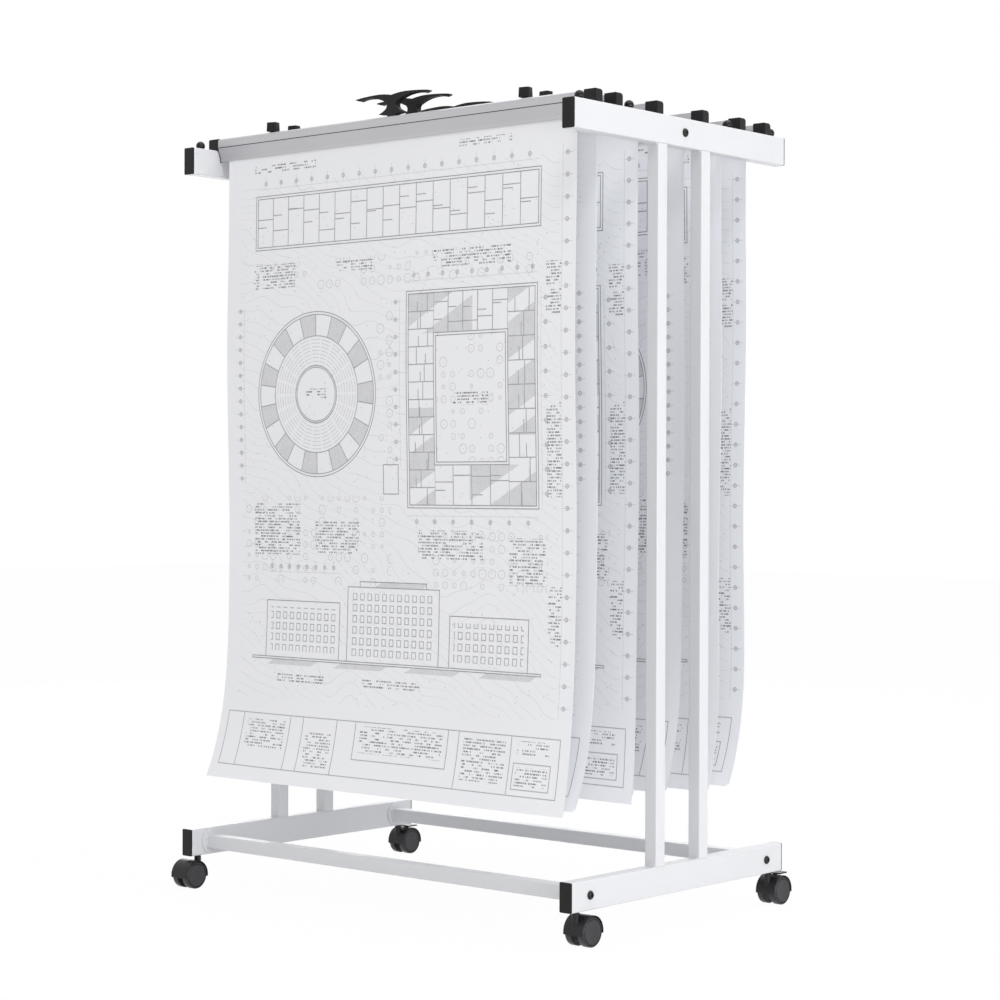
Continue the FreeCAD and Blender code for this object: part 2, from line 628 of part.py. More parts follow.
def clamp_handle():
    """The gull-wing carrying handle, moulded with two pegs that hold it to the bar."""
    tip = HANDLE_SPAN / 2
    waist = HANDLE_WAIST / 2
    foot = HANDLE_FOOT / 2
    boss = HANDLE_BOSS_WIDTH / 2
    notch = BOX_TOP + HANDLE_HEIGHT
    crest = BOX_TOP + HANDLE_CREST
    foot_tip = BOX_TOP + HANDLE_FOOT_RISE
    boss_top = BOX_TOP + HANDLE_BOSS_HEIGHT
    half = (
        ((0, notch), (tip * 0.195, crest - 0.9), (tip * 0.4, crest)),
        ((tip * 0.4, crest), (tip * 0.71, crest - 1.1), (tip, notch)),
        ((tip, notch), None, (tip - 0.4, notch - 1.4)),
        ((tip - 0.4, notch - 1.4), None, (tip - 9.0, notch - 3.9)),
        ((tip - 9.0, notch - 3.9), None, (tip - 11.0, notch - 3.2)),
        ((tip - 11.0, notch - 3.2), (tip * 0.76, notch - 1.7), (tip * 0.63, notch - 1.5)),
        ((tip * 0.63, notch - 1.5), (tip * 0.4, notch - 4.0), (waist + 6.0, notch - 10.2)),
        ((waist + 6.0, notch - 10.2), (waist, foot_tip + 14.8), (waist + 2.4, foot_tip + 8.8)),
        ((waist + 2.4, foot_tip + 8.8), (waist + 9.6, foot_tip + 4.3), (foot, foot_tip + 1.0)),
        ((foot, foot_tip + 1.0), None, (foot - 0.3, foot_tip)),
        ((foot - 0.3, foot_tip), None, (boss, boss_top)),
        ((boss, boss_top), None, (boss, BOX_TOP)),
        ((boss, BOX_TOP), None, (0, BOX_TOP)),
    )
    edges = []
    for side in (-1, 1):
        for start, middle, end in half:
            place = [point(side * x, -HANDLE_DEPTH / 2, z) for x, z in (start, middle or start, end)]
            if middle:
                edges.append(Part.Arc(*place).toShape())
            else:
                edges.append(Part.makeLine(place[0], place[2]))
    wire = Part.Wire(Part.__sortEdges__(edges))
    handle = Part.Face(wire).extrude(Y_AXIS * HANDLE_DEPTH)
    for side in (-1, 1):
        x = side * HANDLE_PEG_SPACING / 2
        handle = handle.fuse(cylinder_z(HANDLE_PEG_RADIUS, BOX_TOP - HANDLE_PEG_LENGTH, BOX_TOP + 1, x, 0))
    return handle.removeSplitter()


def clamp_knob(side):
    """A thumb knob with its screw, and the clip that keeps it in the bar."""
    seat = BOX_TOP + KNOB_SEAT_GAP
    base = seat + KNOB_COLLAR_HEIGHT
    head = prism(KNOB_WIDTH, KNOB_DEPTH, KNOB_EDGE, KNOB_HEIGHT)
    knob = moved(head, z=base + KNOB_HEIGHT / 2)
    knob = knob.fuse(cylinder_z(KNOB_COLLAR_RADIUS, seat, base))
    knob = knob.fuse(cylinder_z(SCREW_RADIUS, SCREW_END, seat))
    clip_top = BOX_TOP - BAR_WALL - KNOB_SEAT_GAP
    knob = knob.fuse(cylinder_z(CLIP_RADIUS, clip_top - CLIP_THICKNESS, clip_top))
    return moved(knob.removeSplitter(), x=side * KNOB_X)


def plan_sheet(curl):
    """A set of plans: straight down from the clamp, then curling forward."""
    back = FLANGE_BACK + PLAN_THICKNESS
    turn = 2 * math.atan(curl / PLAN_CURL_HEIGHT)
    radius = PLAN_CURL_HEIGHT / math.sin(turn)
    curl_top = PLAN_TOP - (PLAN_LENGTH - radius * turn)

    def on_arc(distance, angle):
        reach = radius + distance
        return point(0, back - radius + reach * math.cos(angle), curl_top - reach * math.sin(angle))

    front = -PLAN_THICKNESS
    edges = [
        Part.makeLine(point(0, back, PLAN_TOP), on_arc(0, 0)),
        Part.Arc(on_arc(0, 0), on_arc(0, turn / 2), on_arc(0, turn)).toShape(),
        Part.makeLine(on_arc(0, turn), on_arc(front, turn)),
        Part.Arc(on_arc(front, turn), on_arc(front, turn / 2), on_arc(front, 0)).toShape(),
        Part.makeLine(on_arc(front, 0), point(0, back + front, PLAN_TOP)),
        Part.makeLine(point(0, back + front, PLAN_TOP), point(0, back, PLAN_TOP)),
    ]
    sheet = Part.Face(Part.Wire(edges)).extrude(X_AXIS * PLAN_WIDTH)
    return moved(sheet, x=-PLAN_WIDTH / 2)


def frame_parts():
    """The side frames, crossbars and what is fixed to them."""
    parts = {f"{name}_side_frame": side_frame(side) for name, side in SIDES}
    parts["front_crossbar"] = crossbar(-CROSSBAR_Y, LOWER_BAR_MIDDLE)
    parts["rear_crossbar"] = crossbar(CROSSBAR_Y, LOWER_BAR_MIDDLE)
    parts["top_crossbar"] = crossbar(0, TOP_RAIL_MIDDLE)
    bolts = [frame_bolt(side, y, z) for _, side in SIDES for y, z in bolt_places()]
    parts["frame_bolts"] = Part.makeCompound(bolts)
    heights = (LOWER_BAR_MIDDLE, TOP_RAIL_MIDDLE)
    caps = [rail_end_cap(side, end, z) for _, side in SIDES for end in (-1, 1) for z in heights]
    parts["rail_end_caps"] = Part.makeCompound(caps)
    stops = [dome_stop(side, y) for _, side in SIDES for y in stop_places()]
    parts["rail_stops"] = Part.makeCompound(stops)
    return parts


def caster_parts():
    parts = {}
    for name, side, end, trail, braked in CASTERS:
        parts[f"caster_housing_{name}"] = caster_placed(caster_housing(braked), side, end, trail)
        parts[f"caster_wheels_{name}"] = caster_placed(caster_wheels(), side, end, trail)
        if braked:
            parts[f"brake_pedal_{name}"] = caster_placed(brake_pedal(), side, end, trail)
    return parts


def clamp_parts():
    pieces = {
        "clamp_bar": clamp_bar(),
        "clamp_jaw": clamp_jaw(),
        "clamp_end_caps": Part.makeCompound([clamp_end_cap(side) for _, side in SIDES]),
        "clamp_handle": clamp_handle(),
        "clamp_knob_left": clamp_knob(-1),
        "clamp_knob_right": clamp_knob(1),
    }
    parts = {}
    for name, stop, behind, curl in CLAMPS:
        for piece, shape in {**pieces, "plan_sheet": plan_sheet(curl)}.items():
            parts[f"{piece}_{name}"] = moved(shape, 0, stop + behind, RAIL_TOP)
    return parts


def main():
    os.makedirs("parts", exist_ok=True)
    parts = {**frame_parts(), **caster_parts(), **clamp_parts()}
    for name, shape in parts.items():
        shape.exportStep(f"parts/{name}.step")


main()
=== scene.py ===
"""The looks of a plan hanging rack, in metres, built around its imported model.

+X is the rack's right, +Y its rear and +Z up, and the floor is z = 0. The rack is white powder
coated steel tube. Six aluminium clamps with black end caps, knobs and handles hang sets of
drawings between its two top rails.
"""
import bmesh
import bpy
import math
from mathutils import Matrix, Vector


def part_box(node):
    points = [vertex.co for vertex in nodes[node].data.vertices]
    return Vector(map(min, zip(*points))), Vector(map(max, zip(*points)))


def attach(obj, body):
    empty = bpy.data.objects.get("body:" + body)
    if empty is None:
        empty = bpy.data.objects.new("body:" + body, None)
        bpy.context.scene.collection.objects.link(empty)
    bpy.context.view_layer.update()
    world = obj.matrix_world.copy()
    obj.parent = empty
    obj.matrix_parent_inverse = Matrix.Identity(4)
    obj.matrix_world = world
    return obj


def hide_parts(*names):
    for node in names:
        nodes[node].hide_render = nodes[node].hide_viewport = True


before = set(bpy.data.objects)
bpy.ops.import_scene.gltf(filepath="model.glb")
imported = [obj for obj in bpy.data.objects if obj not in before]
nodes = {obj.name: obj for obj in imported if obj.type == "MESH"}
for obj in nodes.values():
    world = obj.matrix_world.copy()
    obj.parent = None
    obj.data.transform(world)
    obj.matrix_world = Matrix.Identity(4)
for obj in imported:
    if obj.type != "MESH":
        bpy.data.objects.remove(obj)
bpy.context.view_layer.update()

# Where the camera stands, and its angles in radians
CAMERA_PLACE = (2.92743, -3.32784, 0.74744)
CAMERA_TURN = 0.71233       # to the left of straight to the rear
CAMERA_TILT = -0.00413      # up
CAMERA_ROLL = 0.0034        # its own turn about the way it looks
CAMERA_LENS = 86.584        # mm
FILM_WIDTH = 36             # mm

# Sets of drawings: flat size of a sheet, and how it hangs
SHEET_WIDTH = 0.841
SHEET_LENGTH = 1.189
SHEET_THICKNESS = 0.00025
SHEET_SPACING = 0.00034     # between the sheets of a set, where a clamp holds them
SHEET_TOP = 0.0046          # above the rails' tops
CURL_RUN = 0.33             # length of a sheet's lower end that curls
SWAY = 0.028                # how far a sheet leans to and fro as it hangs, in radians
SWAY_LENGTH = 0.74          # of a whole sway
SWAY_STEP = 0.11            # share of a sway by which each clamp's sheets differ from the last
SWAY_START = 0.03           # length below the clamp that hangs straight
SWAY_RISE = 0.25            # length over which the sway then grows
RIPPLE = 0.0022             # how deep a sheet ripples at its lower end
RIPPLE_ACROSS = 9.5         # radians of ripple over a sheet's width
RIPPLE_DOWN = 6.0           # and over its length
RIPPLE_STEP = 17.0          # and for a whole sway
SHEET_COLUMNS = 36          # of faces
SHEET_ROWS = 110
SHEET_CLEARANCE = 0.00005   # from the back of a clamp's flange to its first sheet
PLAN_GRIP_BACK = 0.0037     # from a clamp's middle forward to the back of its flange
CLAMP_HALF_DEPTH = 0.0125

# For each clamp, its sheets from the front one: how far the lower left and right corners have
# curled forward, how much was trimmed off the length, and whether the drawing is mirrored
SHEET_SETS = {
    "a": ((0.052, 0.028, 0.004, False), (0.046, 0.026, 0.008, True)),
    "b": ((0.056, 0.063, 0.003, True), (0.049, 0.056, 0.008, False)),
    "c": ((0.022, 0.015, 0.010, False), (0.017, 0.010, 0.026, True)),
    "d": ((0.046, 0.057, 0.014, True), (0.038, 0.049, 0.020, False)),
    "e": ((0.036, 0.040, 0.008, True), (0.033, 0.037, 0.013, False)),
    "f": ((0.050, 0.058, 0.007, False), (0.042, 0.050, 0.012, True)),
}

CASTERS = ("front_left", "front_right", "rear_left", "rear_right")
CROSSBARS = ("front", "rear", "top")
SIDES = ("left", "right")
SMOOTH_ANGLE = 35           # degrees, past which an edge is shaded sharp
rail_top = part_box("left_side_frame")[1].z


def middle(node):
    """The middle of a node's box."""
    low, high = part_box(node)
    return (low + high) / 2


# ---------------------------------------------------------------- shaping helpers

def deselect():
    """Deselects all objects."""
    for item in bpy.context.selected_objects:
        item.select_set(False)


def use(piece):
    """Makes a piece the only selected one, and active."""
    deselect()
    piece.select_set(True)
    bpy.context.view_layer.objects.active = piece


def named(name):
    """Names the primitive that was just added, and its mesh."""
    piece = bpy.context.object
    piece.name = name
    piece.data.name = name
    return piece


def settle(piece):
    """Puts a piece's place into its mesh."""
    use(piece)
    bpy.ops.object.transform_apply(location=True, rotation=True, scale=True)
    return piece


def edit(piece):
    """Opens a piece in edit mode, with nothing selected."""
    use(piece)
    bpy.ops.object.mode_set(mode="EDIT")
    bpy.ops.mesh.select_all(action="DESELECT")


def leave():
    """Back to object mode."""
    bpy.ops.object.mode_set(mode="OBJECT")


def pick(piece, kind, test):
    """In edit mode, selects the faces, edges or verts that pass a test, and nothing else."""
    bpy.ops.mesh.select_mode(type=kind[:-1].upper())
    bpy.ops.mesh.select_all(action="DESELECT")
    mesh = bmesh.from_edit_mesh(piece.data)
    for item in getattr(mesh, kind):
        if test(item):
            item.select_set(True)
    bmesh.update_edit_mesh(piece.data)


def inset_steps(steps):
    """In edit mode, insets the selected faces again and again, by (width, height) steps."""
    for width, height in steps:
        bpy.ops.mesh.inset(thickness=width, depth=height)


def block(name, size, place):
    """A block, ready to be shaped."""
    bpy.ops.mesh.primitive_cube_add(size=1, location=place)
    piece = named(name)
    piece.scale = size
    return settle(piece)


def rod(name, radius, length, place, axis="Z", sides=32):
    """A rod along an axis, ready to be shaped."""
    turn = {"X": (0, math.pi / 2, 0), "Z": (0, 0, 0)}[axis]
    bpy.ops.mesh.primitive_cylinder_add(
        vertices=sides, radius=radius, depth=length, location=place, rotation=turn)
    return settle(named(name))


def joined(name, pieces):
    """Several pieces as one."""
    use(pieces[0])
    for other in pieces[1:]:
        other.select_set(True)
    bpy.ops.object.join()
    return named(name)


def copied(piece, name, shift):
    """A copy of a piece with its own mesh, moved by shift."""
    copy = piece.copy()
    copy.data = piece.data.copy()
    copy.name = name
    bpy.context.scene.collection.objects.link(copy)
    copy.data.transform(Matrix.Translation(Vector(shift)))
    return copy


def rounding(piece, width, segments, angle):
    """A modifier that rounds a piece's edges where they are sharper than an angle."""
    bevel = piece.modifiers.new("edges", "BEVEL")
    bevel.width = width
    bevel.segments = segments
    bevel.limit_method = "ANGLE"
    bevel.angle_limit = math.radians(angle)
    return bevel


def smoothed(piece):
    """Shades a piece smooth, apart from its sharp edges."""
    use(piece)
    bpy.ops.object.shade_smooth_by_angle(angle=math.radians(SMOOTH_ANGLE))
    return piece


def rounded(piece, width, angle=40):
    """Rounds a piece's sharp edges, and shades the rest smooth."""
    use(piece)
    bpy.ops.object.modifier_apply(modifier=rounding(piece, width, 3, angle).name)
    return smoothed(piece)


def dress(piece, *finishes):
    """Gives a piece its materials."""
    piece.data.materials.clear()
    for finish in finishes:
        piece.data.materials.append(finish)
    return piece


def finished(node, finish, width, angle=35):
    """Gives a node of the model its material, and fine rounded edges that catch the light."""
    piece = dress(nodes[node], finish)
    for face in piece.data.polygons:
        face.use_smooth = True
    weld = piece.modifiers.new("weld", "WELD")
    weld.merge_threshold = 0.00002
    flat = piece.modifiers.new("flat", "DECIMATE")
    flat.decimate_type = "DISSOLVE"
    flat.angle_limit = math.radians(1)
    rounding(piece, width, 2, angle)
    shading = piece.modifiers.new("shading", "WEIGHTED_NORMAL")
    shading.weight = 100


# ---------------------------------------------------------------- finishes

def new_finish(name, color, roughness, metallic=0.0, specular=0.5):
    """A material, its shader and a helper that adds nodes to it."""
    material = bpy.data.materials.new(name)
    material.use_nodes = True
    tree = material.node_tree
    shader = tree.nodes["Principled BSDF"]
    shader.inputs["Base Color"].default_value = (*color, 1)
    shader.inputs["Roughness"].default_value = roughness
    shader.inputs["Metallic"].default_value = metallic
    shader.inputs["Specular IOR Level"].default_value = specular

    def add(kind, *inputs, **settings):
        """Adds a node. Each input is a value, another node's socket, or None to leave it."""
        step = tree.nodes.new(kind)
        for key, value in settings.items():
            setattr(step, key, value)
        for index, value in enumerate(inputs):
            if value is None:
                continue
            if isinstance(value, bpy.types.NodeSocket):
                tree.links.new(value, step.inputs[index])
            else:
                step.inputs[index].default_value = value
        return step

    add.link = tree.links.new
    return material, shader, add


def sums(add, operation, first, second=0.0, third=None):
    """The result of one sum on numbers."""
    return add("ShaderNodeMath", first, second, third, operation=operation).outputs[0]


def between(add, value, low, high):
    """1 where a value lies between two limits."""
    above = sums(add, "GREATER_THAN", value, low)
    return sums(add, "MULTIPLY", above, sums(add, "LESS_THAN", value, high))


def places(add, scale=(1, 1, 1)):
    """Object coordinates, stretched along each axis."""
    where = add("ShaderNodeTexCoord").outputs["Object"]
    return add("ShaderNodeMapping", where, None, None, scale).outputs[0]


def noise(add, where, scale, detail=3.0, rough=0.5):
    """A cloudy number, mostly near 0.5."""
    step = add("ShaderNodeTexNoise", where, None, scale, detail, rough)
    return step.outputs["Fac"]


def spread(add, value, low, high, to_low, to_high):
    """A value stretched from one range to another."""
    return add("ShaderNodeMapRange", value, low, high, to_low, to_high).outputs[0]


def relief(add, height, strength, distance, under=None):
    """Raises the surface by a height."""
    return add("ShaderNodeBump", strength, distance, None, height, under).outputs[0]


def shade_of(add, amount, dark, light):
    """A colour between two, by an amount."""
    mix = add("ShaderNodeMix", data_type="RGBA")
    mix.inputs[6].default_value = (*dark, 1)
    mix.inputs[7].default_value = (*light, 1)
    add.link(amount, mix.inputs[0])
    return mix.outputs[2]


def painted(add, amount, ground, color):
    """A colour laid over another node's, by an amount."""
    mix = add("ShaderNodeMix", data_type="RGBA")
    add.link(amount, mix.inputs[0])
    add.link(ground, mix.inputs[6])
    mix.inputs[7].default_value = (*color, 1)
    return mix.outputs[2]


def powder_coat():
    """White powder coat on steel: orange peel, faint clouds and a little uneven gloss."""
    material, shader, add = new_finish(
        "white_powder_coat", (0.695, 0.700, 0.722), 0.42, specular=0.40)
    where = places(add)
    peel = noise(add, where, 1400, 2)
    waves = noise(add, where, 260, 2)
    clouds = noise(add, where, 7, 4)
    normal = relief(add, peel, 0.22, 0.00006)
    add.link(relief(add, waves, 0.18, 0.00012, normal), shader.inputs["Normal"])
    add.link(spread(add, clouds, 0.3, 0.7, 0.36, 0.50), shader.inputs["Roughness"])
    add.link(shade_of(add, clouds, (0.680, 0.685, 0.708), (0.710, 0.715, 0.736)),
             shader.inputs["Base Color"])
    return material


BAR_GROOVE = (0.0035, 0.0051)   # lower and upper edge, above the rails' tops
# colour of the shade painted into the bars' groove
GROOVE_SHADE_COLOR = (0.060, 0.060, 0.062)


def brushed_aluminium(name, grooved):
    """Satin anodised aluminium, with the fine lines of its die along X, and shade painted dark into
    a groove.
    """
    material, shader, add = new_finish(name, (0.545, 0.540, 0.562), 0.42, metallic=1.0)
    lines = noise(add, places(add, (3, 2600, 2600)), 1, 2)
    streaks = noise(add, places(add, (1.5, 260, 260)), 1, 3)
    clouds = noise(add, places(add), 9, 3)
    uneven = sums(add, "MULTIPLY_ADD", lines, 0.35, clouds)
    add.link(relief(add, lines, 0.25, 0.00003, relief(add, streaks, 0.15, 0.00005)),
             shader.inputs["Normal"])
    add.link(spread(add, uneven, 0.3, 1.1, 0.36, 0.52), shader.inputs["Roughness"])
    color = shade_of(add, streaks, (0.518, 0.514, 0.535), (0.572, 0.567, 0.589))
    if grooved:
        # Painted shade: the groove along the bar is coloured dark between its edges
        height = add("ShaderNodeSeparateXYZ", places(add)).outputs[2]
        groove_shade = between(add, height, rail_top + BAR_GROOVE[0], rail_top + BAR_GROOVE[1])
        groove_shade = sums(add, "MULTIPLY", groove_shade, sums(add, "MULTIPLY_ADD", clouds, 0.3, 0.68))
        color = painted(add, groove_shade, color, GROOVE_SHADE_COLOR)
    add.link(color, shader.inputs["Base Color"])
    return material


def moulded_plastic(name, dark, light, roughness, grain, specular):
    """Moulded plastic: spark eroded grain, small changes of gloss, faint scuffs."""
    material, shader, add = new_finish(name, light, roughness, specular=specular)
    where = places(add)
    pits = noise(add, where, grain, 3, 0.6)
    clouds = noise(add, where, 60, 4)
    scuffs = noise(add, places(add, (420, 60, 160)), 1, 5, 0.7)
    add.link(relief(add, pits, 0.30, 0.00008), shader.inputs["Normal"])
    gloss = sums(add, "MULTIPLY_ADD", scuffs, 0.5, clouds)
    add.link(spread(add, gloss, 0.5, 1.0, roughness - 0.07, roughness + 0.08),
             shader.inputs["Roughness"])
    add.link(shade_of(add, spread(add, scuffs, 0.45, 0.75, 0, 1), dark, light),
             shader.inputs["Base Color"])
    return material


def blackened_steel():
    """Blackened steel of the socket bolts: fine grain and an uneven film of oil."""
    material, shader, add = new_finish(
        "blackened_steel", (0.012, 0.012, 0.014), 0.30, specular=0.34)
    where = places(add)
    grain = noise(add, where, 1800, 2)
    film = noise(add, where, 240, 3)
    add.link(relief(add, grain, 0.25, 0.00004), shader.inputs["Normal"])
    add.link(spread(add, film, 0.3, 0.7, 0.24, 0.38), shader.inputs["Roughness"])
    add.link(shade_of(add, film, (0.007, 0.007, 0.008), (0.016, 0.016, 0.018)),
             shader.inputs["Base Color"])
    return material


# ---------------------------------------------------------------- the printed drawing
# A made-up site: a terrace, a round hall, a block about a court and its street fronts. Places
# are in metres from a sheet's lower left corner, boxes as (middle u, middle v, half width,
# half height).

INK = (0.045, 0.045, 0.055)
INK_LINE = 0.0015               # width of a wall's line
# How dark each kind of line is printed, from 0 to 1
STRENGTHS = {
    "walls": 0.80, "titles": 0.66, "letters": 0.86, "rooms": 0.74, "hatching": 0.50,
    "hall": 0.74, "bays": 0.70, "seats": 0.55, "windows": 0.66, "trees": 0.40,
    "contours": 0.17, "axes": 0.74, "leaders": 0.42, "specks": 0.60,
}
# Where each kind of random number starts
SEEDS = {
    "strokes": 3.1, "words": 8.7, "crowns": 4.4, "planting": 9.9, "specks": 1.7,
    "rows of rooms": 11.7, "cross walls": 5.3,
}
BUILDING_WALLS = (
    (0.420, 1.035, 0.345, 0.050),
    (0.420, 1.035, 0.340, 0.045),
    (0.610, 0.700, 0.150, 0.190),
    (0.610, 0.700, 0.145, 0.185),
    (0.610, 0.700, 0.085, 0.115),
    (0.610, 0.700, 0.080, 0.110),
    (0.420, 0.560, 0.018, 0.026),
    (0.200, 0.285, 0.095, 0.052),
    (0.425, 0.300, 0.110, 0.067),
    (0.650, 0.278, 0.090, 0.045),
    (0.425, 0.372, 0.080, 0.005),
    (0.420, 0.231, 0.350, 0.002),
)
SOLID_WALLS = 8                 # the first ones, which the contour lines stay out of
TITLE_BOXES = (
    (0.4205, 0.077, 0.400, 0.050),
    (0.125, 0.077, 0.062, 0.050),
    (0.262, 0.077, 0.042, 0.050),
    (0.460, 0.093, 0.110, 0.034),
    (0.655, 0.077, 0.060, 0.050),
    (0.764, 0.060, 0.040, 0.022),
)
# Rows of rooms: (along u or v, from, to, nearer edge, further edge, width of a room)
ROOM_ROWS = (
    ("u", 0.080, 0.760, 0.990, 1.080, 0.0400),
    ("v", 0.515, 0.885, 0.465, 0.525, 0.0308),
    ("v", 0.515, 0.885, 0.695, 0.755, 0.0411),
    ("u", 0.525, 0.695, 0.515, 0.585, 0.0425),
    ("u", 0.525, 0.695, 0.815, 0.885, 0.0340),
)
CROSS_WALLS = (0.25, 0.55)      # nearest place and range of a cross wall, of the rooms' depth
SHORT_WALL = 0.55               # length of every second one, of a room's width
HALL = (0.235, 0.715)
HALL_RINGS = (0.150, 0.145, 0.106, 0.052, 0.049)    # radii, from the outer wall to the stage
HALL_BAYS = 22
HALL_TIER = 0.0066              # from one row of seats to the next
HALL_AISLE = 0.41               # half of the share of a bay that its seats take
SEAT_LINE = 0.17                # share of a tier that its line takes
FACADES = (
    (0.200, 0.285, 0.084, 0.040),
    (0.425, 0.300, 0.099, 0.056),
    (0.650, 0.278, 0.080, 0.034),
)
WINDOW = (0.0045, 0.0058)       # half sizes
WINDOW_SPACING = (0.0180, 0.0200)
HATCHED = (
    (0.540, 0.850, 0.075, 0.035),
    (0.725, 0.760, 0.030, 0.125),
    (0.680, 0.550, 0.075, 0.035),
    (0.495, 0.600, 0.030, 0.085),
    (0.425, 0.372, 0.080, 0.005),
    (0.420, 0.224, 0.350, 0.005),
)
LETTERING = (
    (0.150, 1.135, 0.080, 0.008),
    (0.640, 1.140, 0.060, 0.006),
    (0.125, 0.935, 0.055, 0.022),
    (0.330, 0.945, 0.045, 0.010),
    (0.610, 0.945, 0.090, 0.016),
    (0.610, 0.700, 0.040, 0.012),
    (0.235, 0.715, 0.026, 0.010),
    (0.130, 0.470, 0.060, 0.048),
    (0.285, 0.455, 0.055, 0.030),
    (0.560, 0.445, 0.075, 0.026),
    (0.735, 0.420, 0.040, 0.040),
    (0.200, 0.195, 0.060, 0.008),
    (0.425, 0.195, 0.070, 0.008),
    (0.795, 0.880, 0.016, 0.045),
    (0.795, 0.610, 0.016, 0.080),
    (0.797, 0.330, 0.014, 0.050),
    (0.125, 0.090, 0.050, 0.026),
    (0.262, 0.068, 0.032, 0.032),
    (0.460, 0.096, 0.098, 0.024),
    (0.655, 0.080, 0.048, 0.036),
    (0.764, 0.108, 0.034, 0.012),
    (0.764, 0.060, 0.034, 0.016),
)
# Rows of axis marks: (their line, middle, half length, spacing, which side the building is on)
GRID_ROWS = (
    (1.108, 0.420, 0.340, 0.0400, -1),
    (0.918, 0.610, 0.150, 0.0340, -1),
    (0.486, 0.610, 0.150, 0.0425, 1),
    (0.400, 0.200, 0.095, 0.0230, -1),
)
GRID_COLUMNS = (
    (0.036, 0.715, 0.165, 0.0240, 1),
    (0.434, 0.730, 0.150, 0.0308, 1),
    (0.778, 0.700, 0.185, 0.0411, -1),
    (0.822, 0.640, 0.480, 0.0370, -1),
)
SHEET_AREA = (0.420, 0.630, 0.385, 0.475)
GARDENS = (
    (0.610, 0.700, 0.078, 0.108),
    (0.420, 0.930, 0.340, 0.030),
    (0.230, 0.450, 0.190, 0.080),
    (0.410, 0.720, 0.022, 0.140),
    (0.640, 0.420, 0.140, 0.050),
)
TREE_SPACING = 0.0215
TREE_CROWN = (0.0030, 0.0055)   # smallest radius, and how much wider the largest is
TREE_LINE = 0.0010
TREE_STEM = 0.0016              # width of the dot in its middle
TREELESS = 0.42                 # share of the places that have no tree
CONTOUR_SPACING = 0.021
CONTOUR_LINE = 0.050            # share of the spacing that a line takes
CONTOUR_SLOPE = 0.42            # how much the lines fall from left to right
CONTOUR_SWELL = 0.22            # and how much they waver
TEXT_ROW = 0.0054               # from one row of lettering to the next
TEXT_HEIGHT = 0.50              # share of a row that its dashes fill
TEXT_STROKE = 0.0010
TEXT_WORD = 0.0095
TEXT_GAPS = (0.42, 0.30)        # shares of the strokes and of the words that are left out
HATCH_LINES = 400               # for each metre
HATCH_SLANT = 0.8
HATCH_STROKE = 0.52             # share of the spacing that a line takes
HATCH_BANDS = 10.5              # for each metre
BAND_SLANT = 0.55
BAND_FILL = 0.66                # share of the bands that is hatched
BUBBLE = 0.0033                 # radius of an axis mark
BUBBLE_LINE = 0.0012
BUBBLE_DOT = 0.0024
LEADER_REACH = 0.0115
LEADER_LINE = 0.0009
CHAIN_OFFSET = 0.0100           # from the axis marks to the chain of dimensions
CHAIN_LINE = 0.0008
SPECK = 0.0016                  # side of a speck of stray ink
SPECKLESS = 0.998               # share of the site that has none
WEAR = (0.52, 0.61)             # how uneven the ink is, and how dark where it is thinnest


def on_places(add, operation, first, second=None):
    """The result of one sum on places."""
    return add("ShaderNodeVectorMath", first, second, operation=operation).outputs[0]


def length_of(add, where):
    """How far a place is from zero."""
    return add("ShaderNodeVectorMath", where, operation="LENGTH").outputs["Value"]


def product(add, *factors):
    """Several numbers multiplied."""
    result = factors[0]
    for factor in factors[1:]:
        result = sums(add, "MULTIPLY", result, factor)
    return result


def distance_from(add, value, goal):
    """How far a number is from another."""
    return sums(add, "ABSOLUTE", sums(add, "SUBTRACT", value, goal))


def box_distance(add, where, box):
    """How far a point is outside a box: below zero inside it."""
    u, v, half_width, half_height = box
    off = on_places(add, "ABSOLUTE", on_places(add, "SUBTRACT", where, (u, v, 0)))
    off = on_places(add, "SUBTRACT", off, (half_width, half_height, 0))
    parts = add("ShaderNodeSeparateXYZ", off)
    return sums(add, "MAXIMUM", parts.outputs[0], parts.outputs[1])


def nearest(add, where, boxes, outline):
    """The distance to the nearest of several boxes, or to the nearest of their outlines."""
    best = None
    for box in boxes:
        distance = box_distance(add, where, box)
        if outline:
            distance = sums(add, "ABSOLUTE", distance)
        best = distance if best is None else sums(add, "MINIMUM", best, distance)
    return best


def inside(add, where, boxes):
    """1 inside any of several boxes."""
    return sums(add, "LESS_THAN", nearest(add, where, boxes, False), 0.0)


def line_ink(add, distance, width):
    """A line's ink by how far its middle is: full to 0.35 of its width, and none past 0.75."""
    ink = sums(add, "MULTIPLY_ADD", distance, -2.5 / width, 1.875)
    return sums(add, "MAXIMUM", sums(add, "MINIMUM", ink, 1.0), 0.0)


def over(add, ink, more, strength):
    """More ink of some strength, laid over what is there."""
    return sums(add, "MAXIMUM", ink, sums(add, "MULTIPLY", more, strength))


def cell_noise(add, where, size, seed):
    """One random number for each cell of a grid."""
    cell = on_places(add, "SNAP", where, (*size, 1))
    cell = on_places(add, "ADD", cell, (seed, seed * 0.37, 0.0))
    return add("ShaderNodeTexWhiteNoise", cell, noise_dimensions="2D").outputs[0]


def chosen(add, where, size, seed, level):
    """1 in those cells of a grid whose random number is above a level."""
    return sums(add, "GREATER_THAN", cell_noise(add, where, size, seed), level)


def lettering(add, where, v):
    """Rows of small dashes, like lettering seen from afar."""
    rows = sums(add, "FRACT", sums(add, "MULTIPLY", v, 1 / TEXT_ROW))
    rows = sums(add, "LESS_THAN", rows, TEXT_HEIGHT)
    strokes = chosen(add, where, (TEXT_STROKE, TEXT_ROW), SEEDS["strokes"], TEXT_GAPS[0])
    words = chosen(add, where, (TEXT_WORD, TEXT_ROW), SEEDS["words"], TEXT_GAPS[1])
    return product(add, rows, strokes, words)


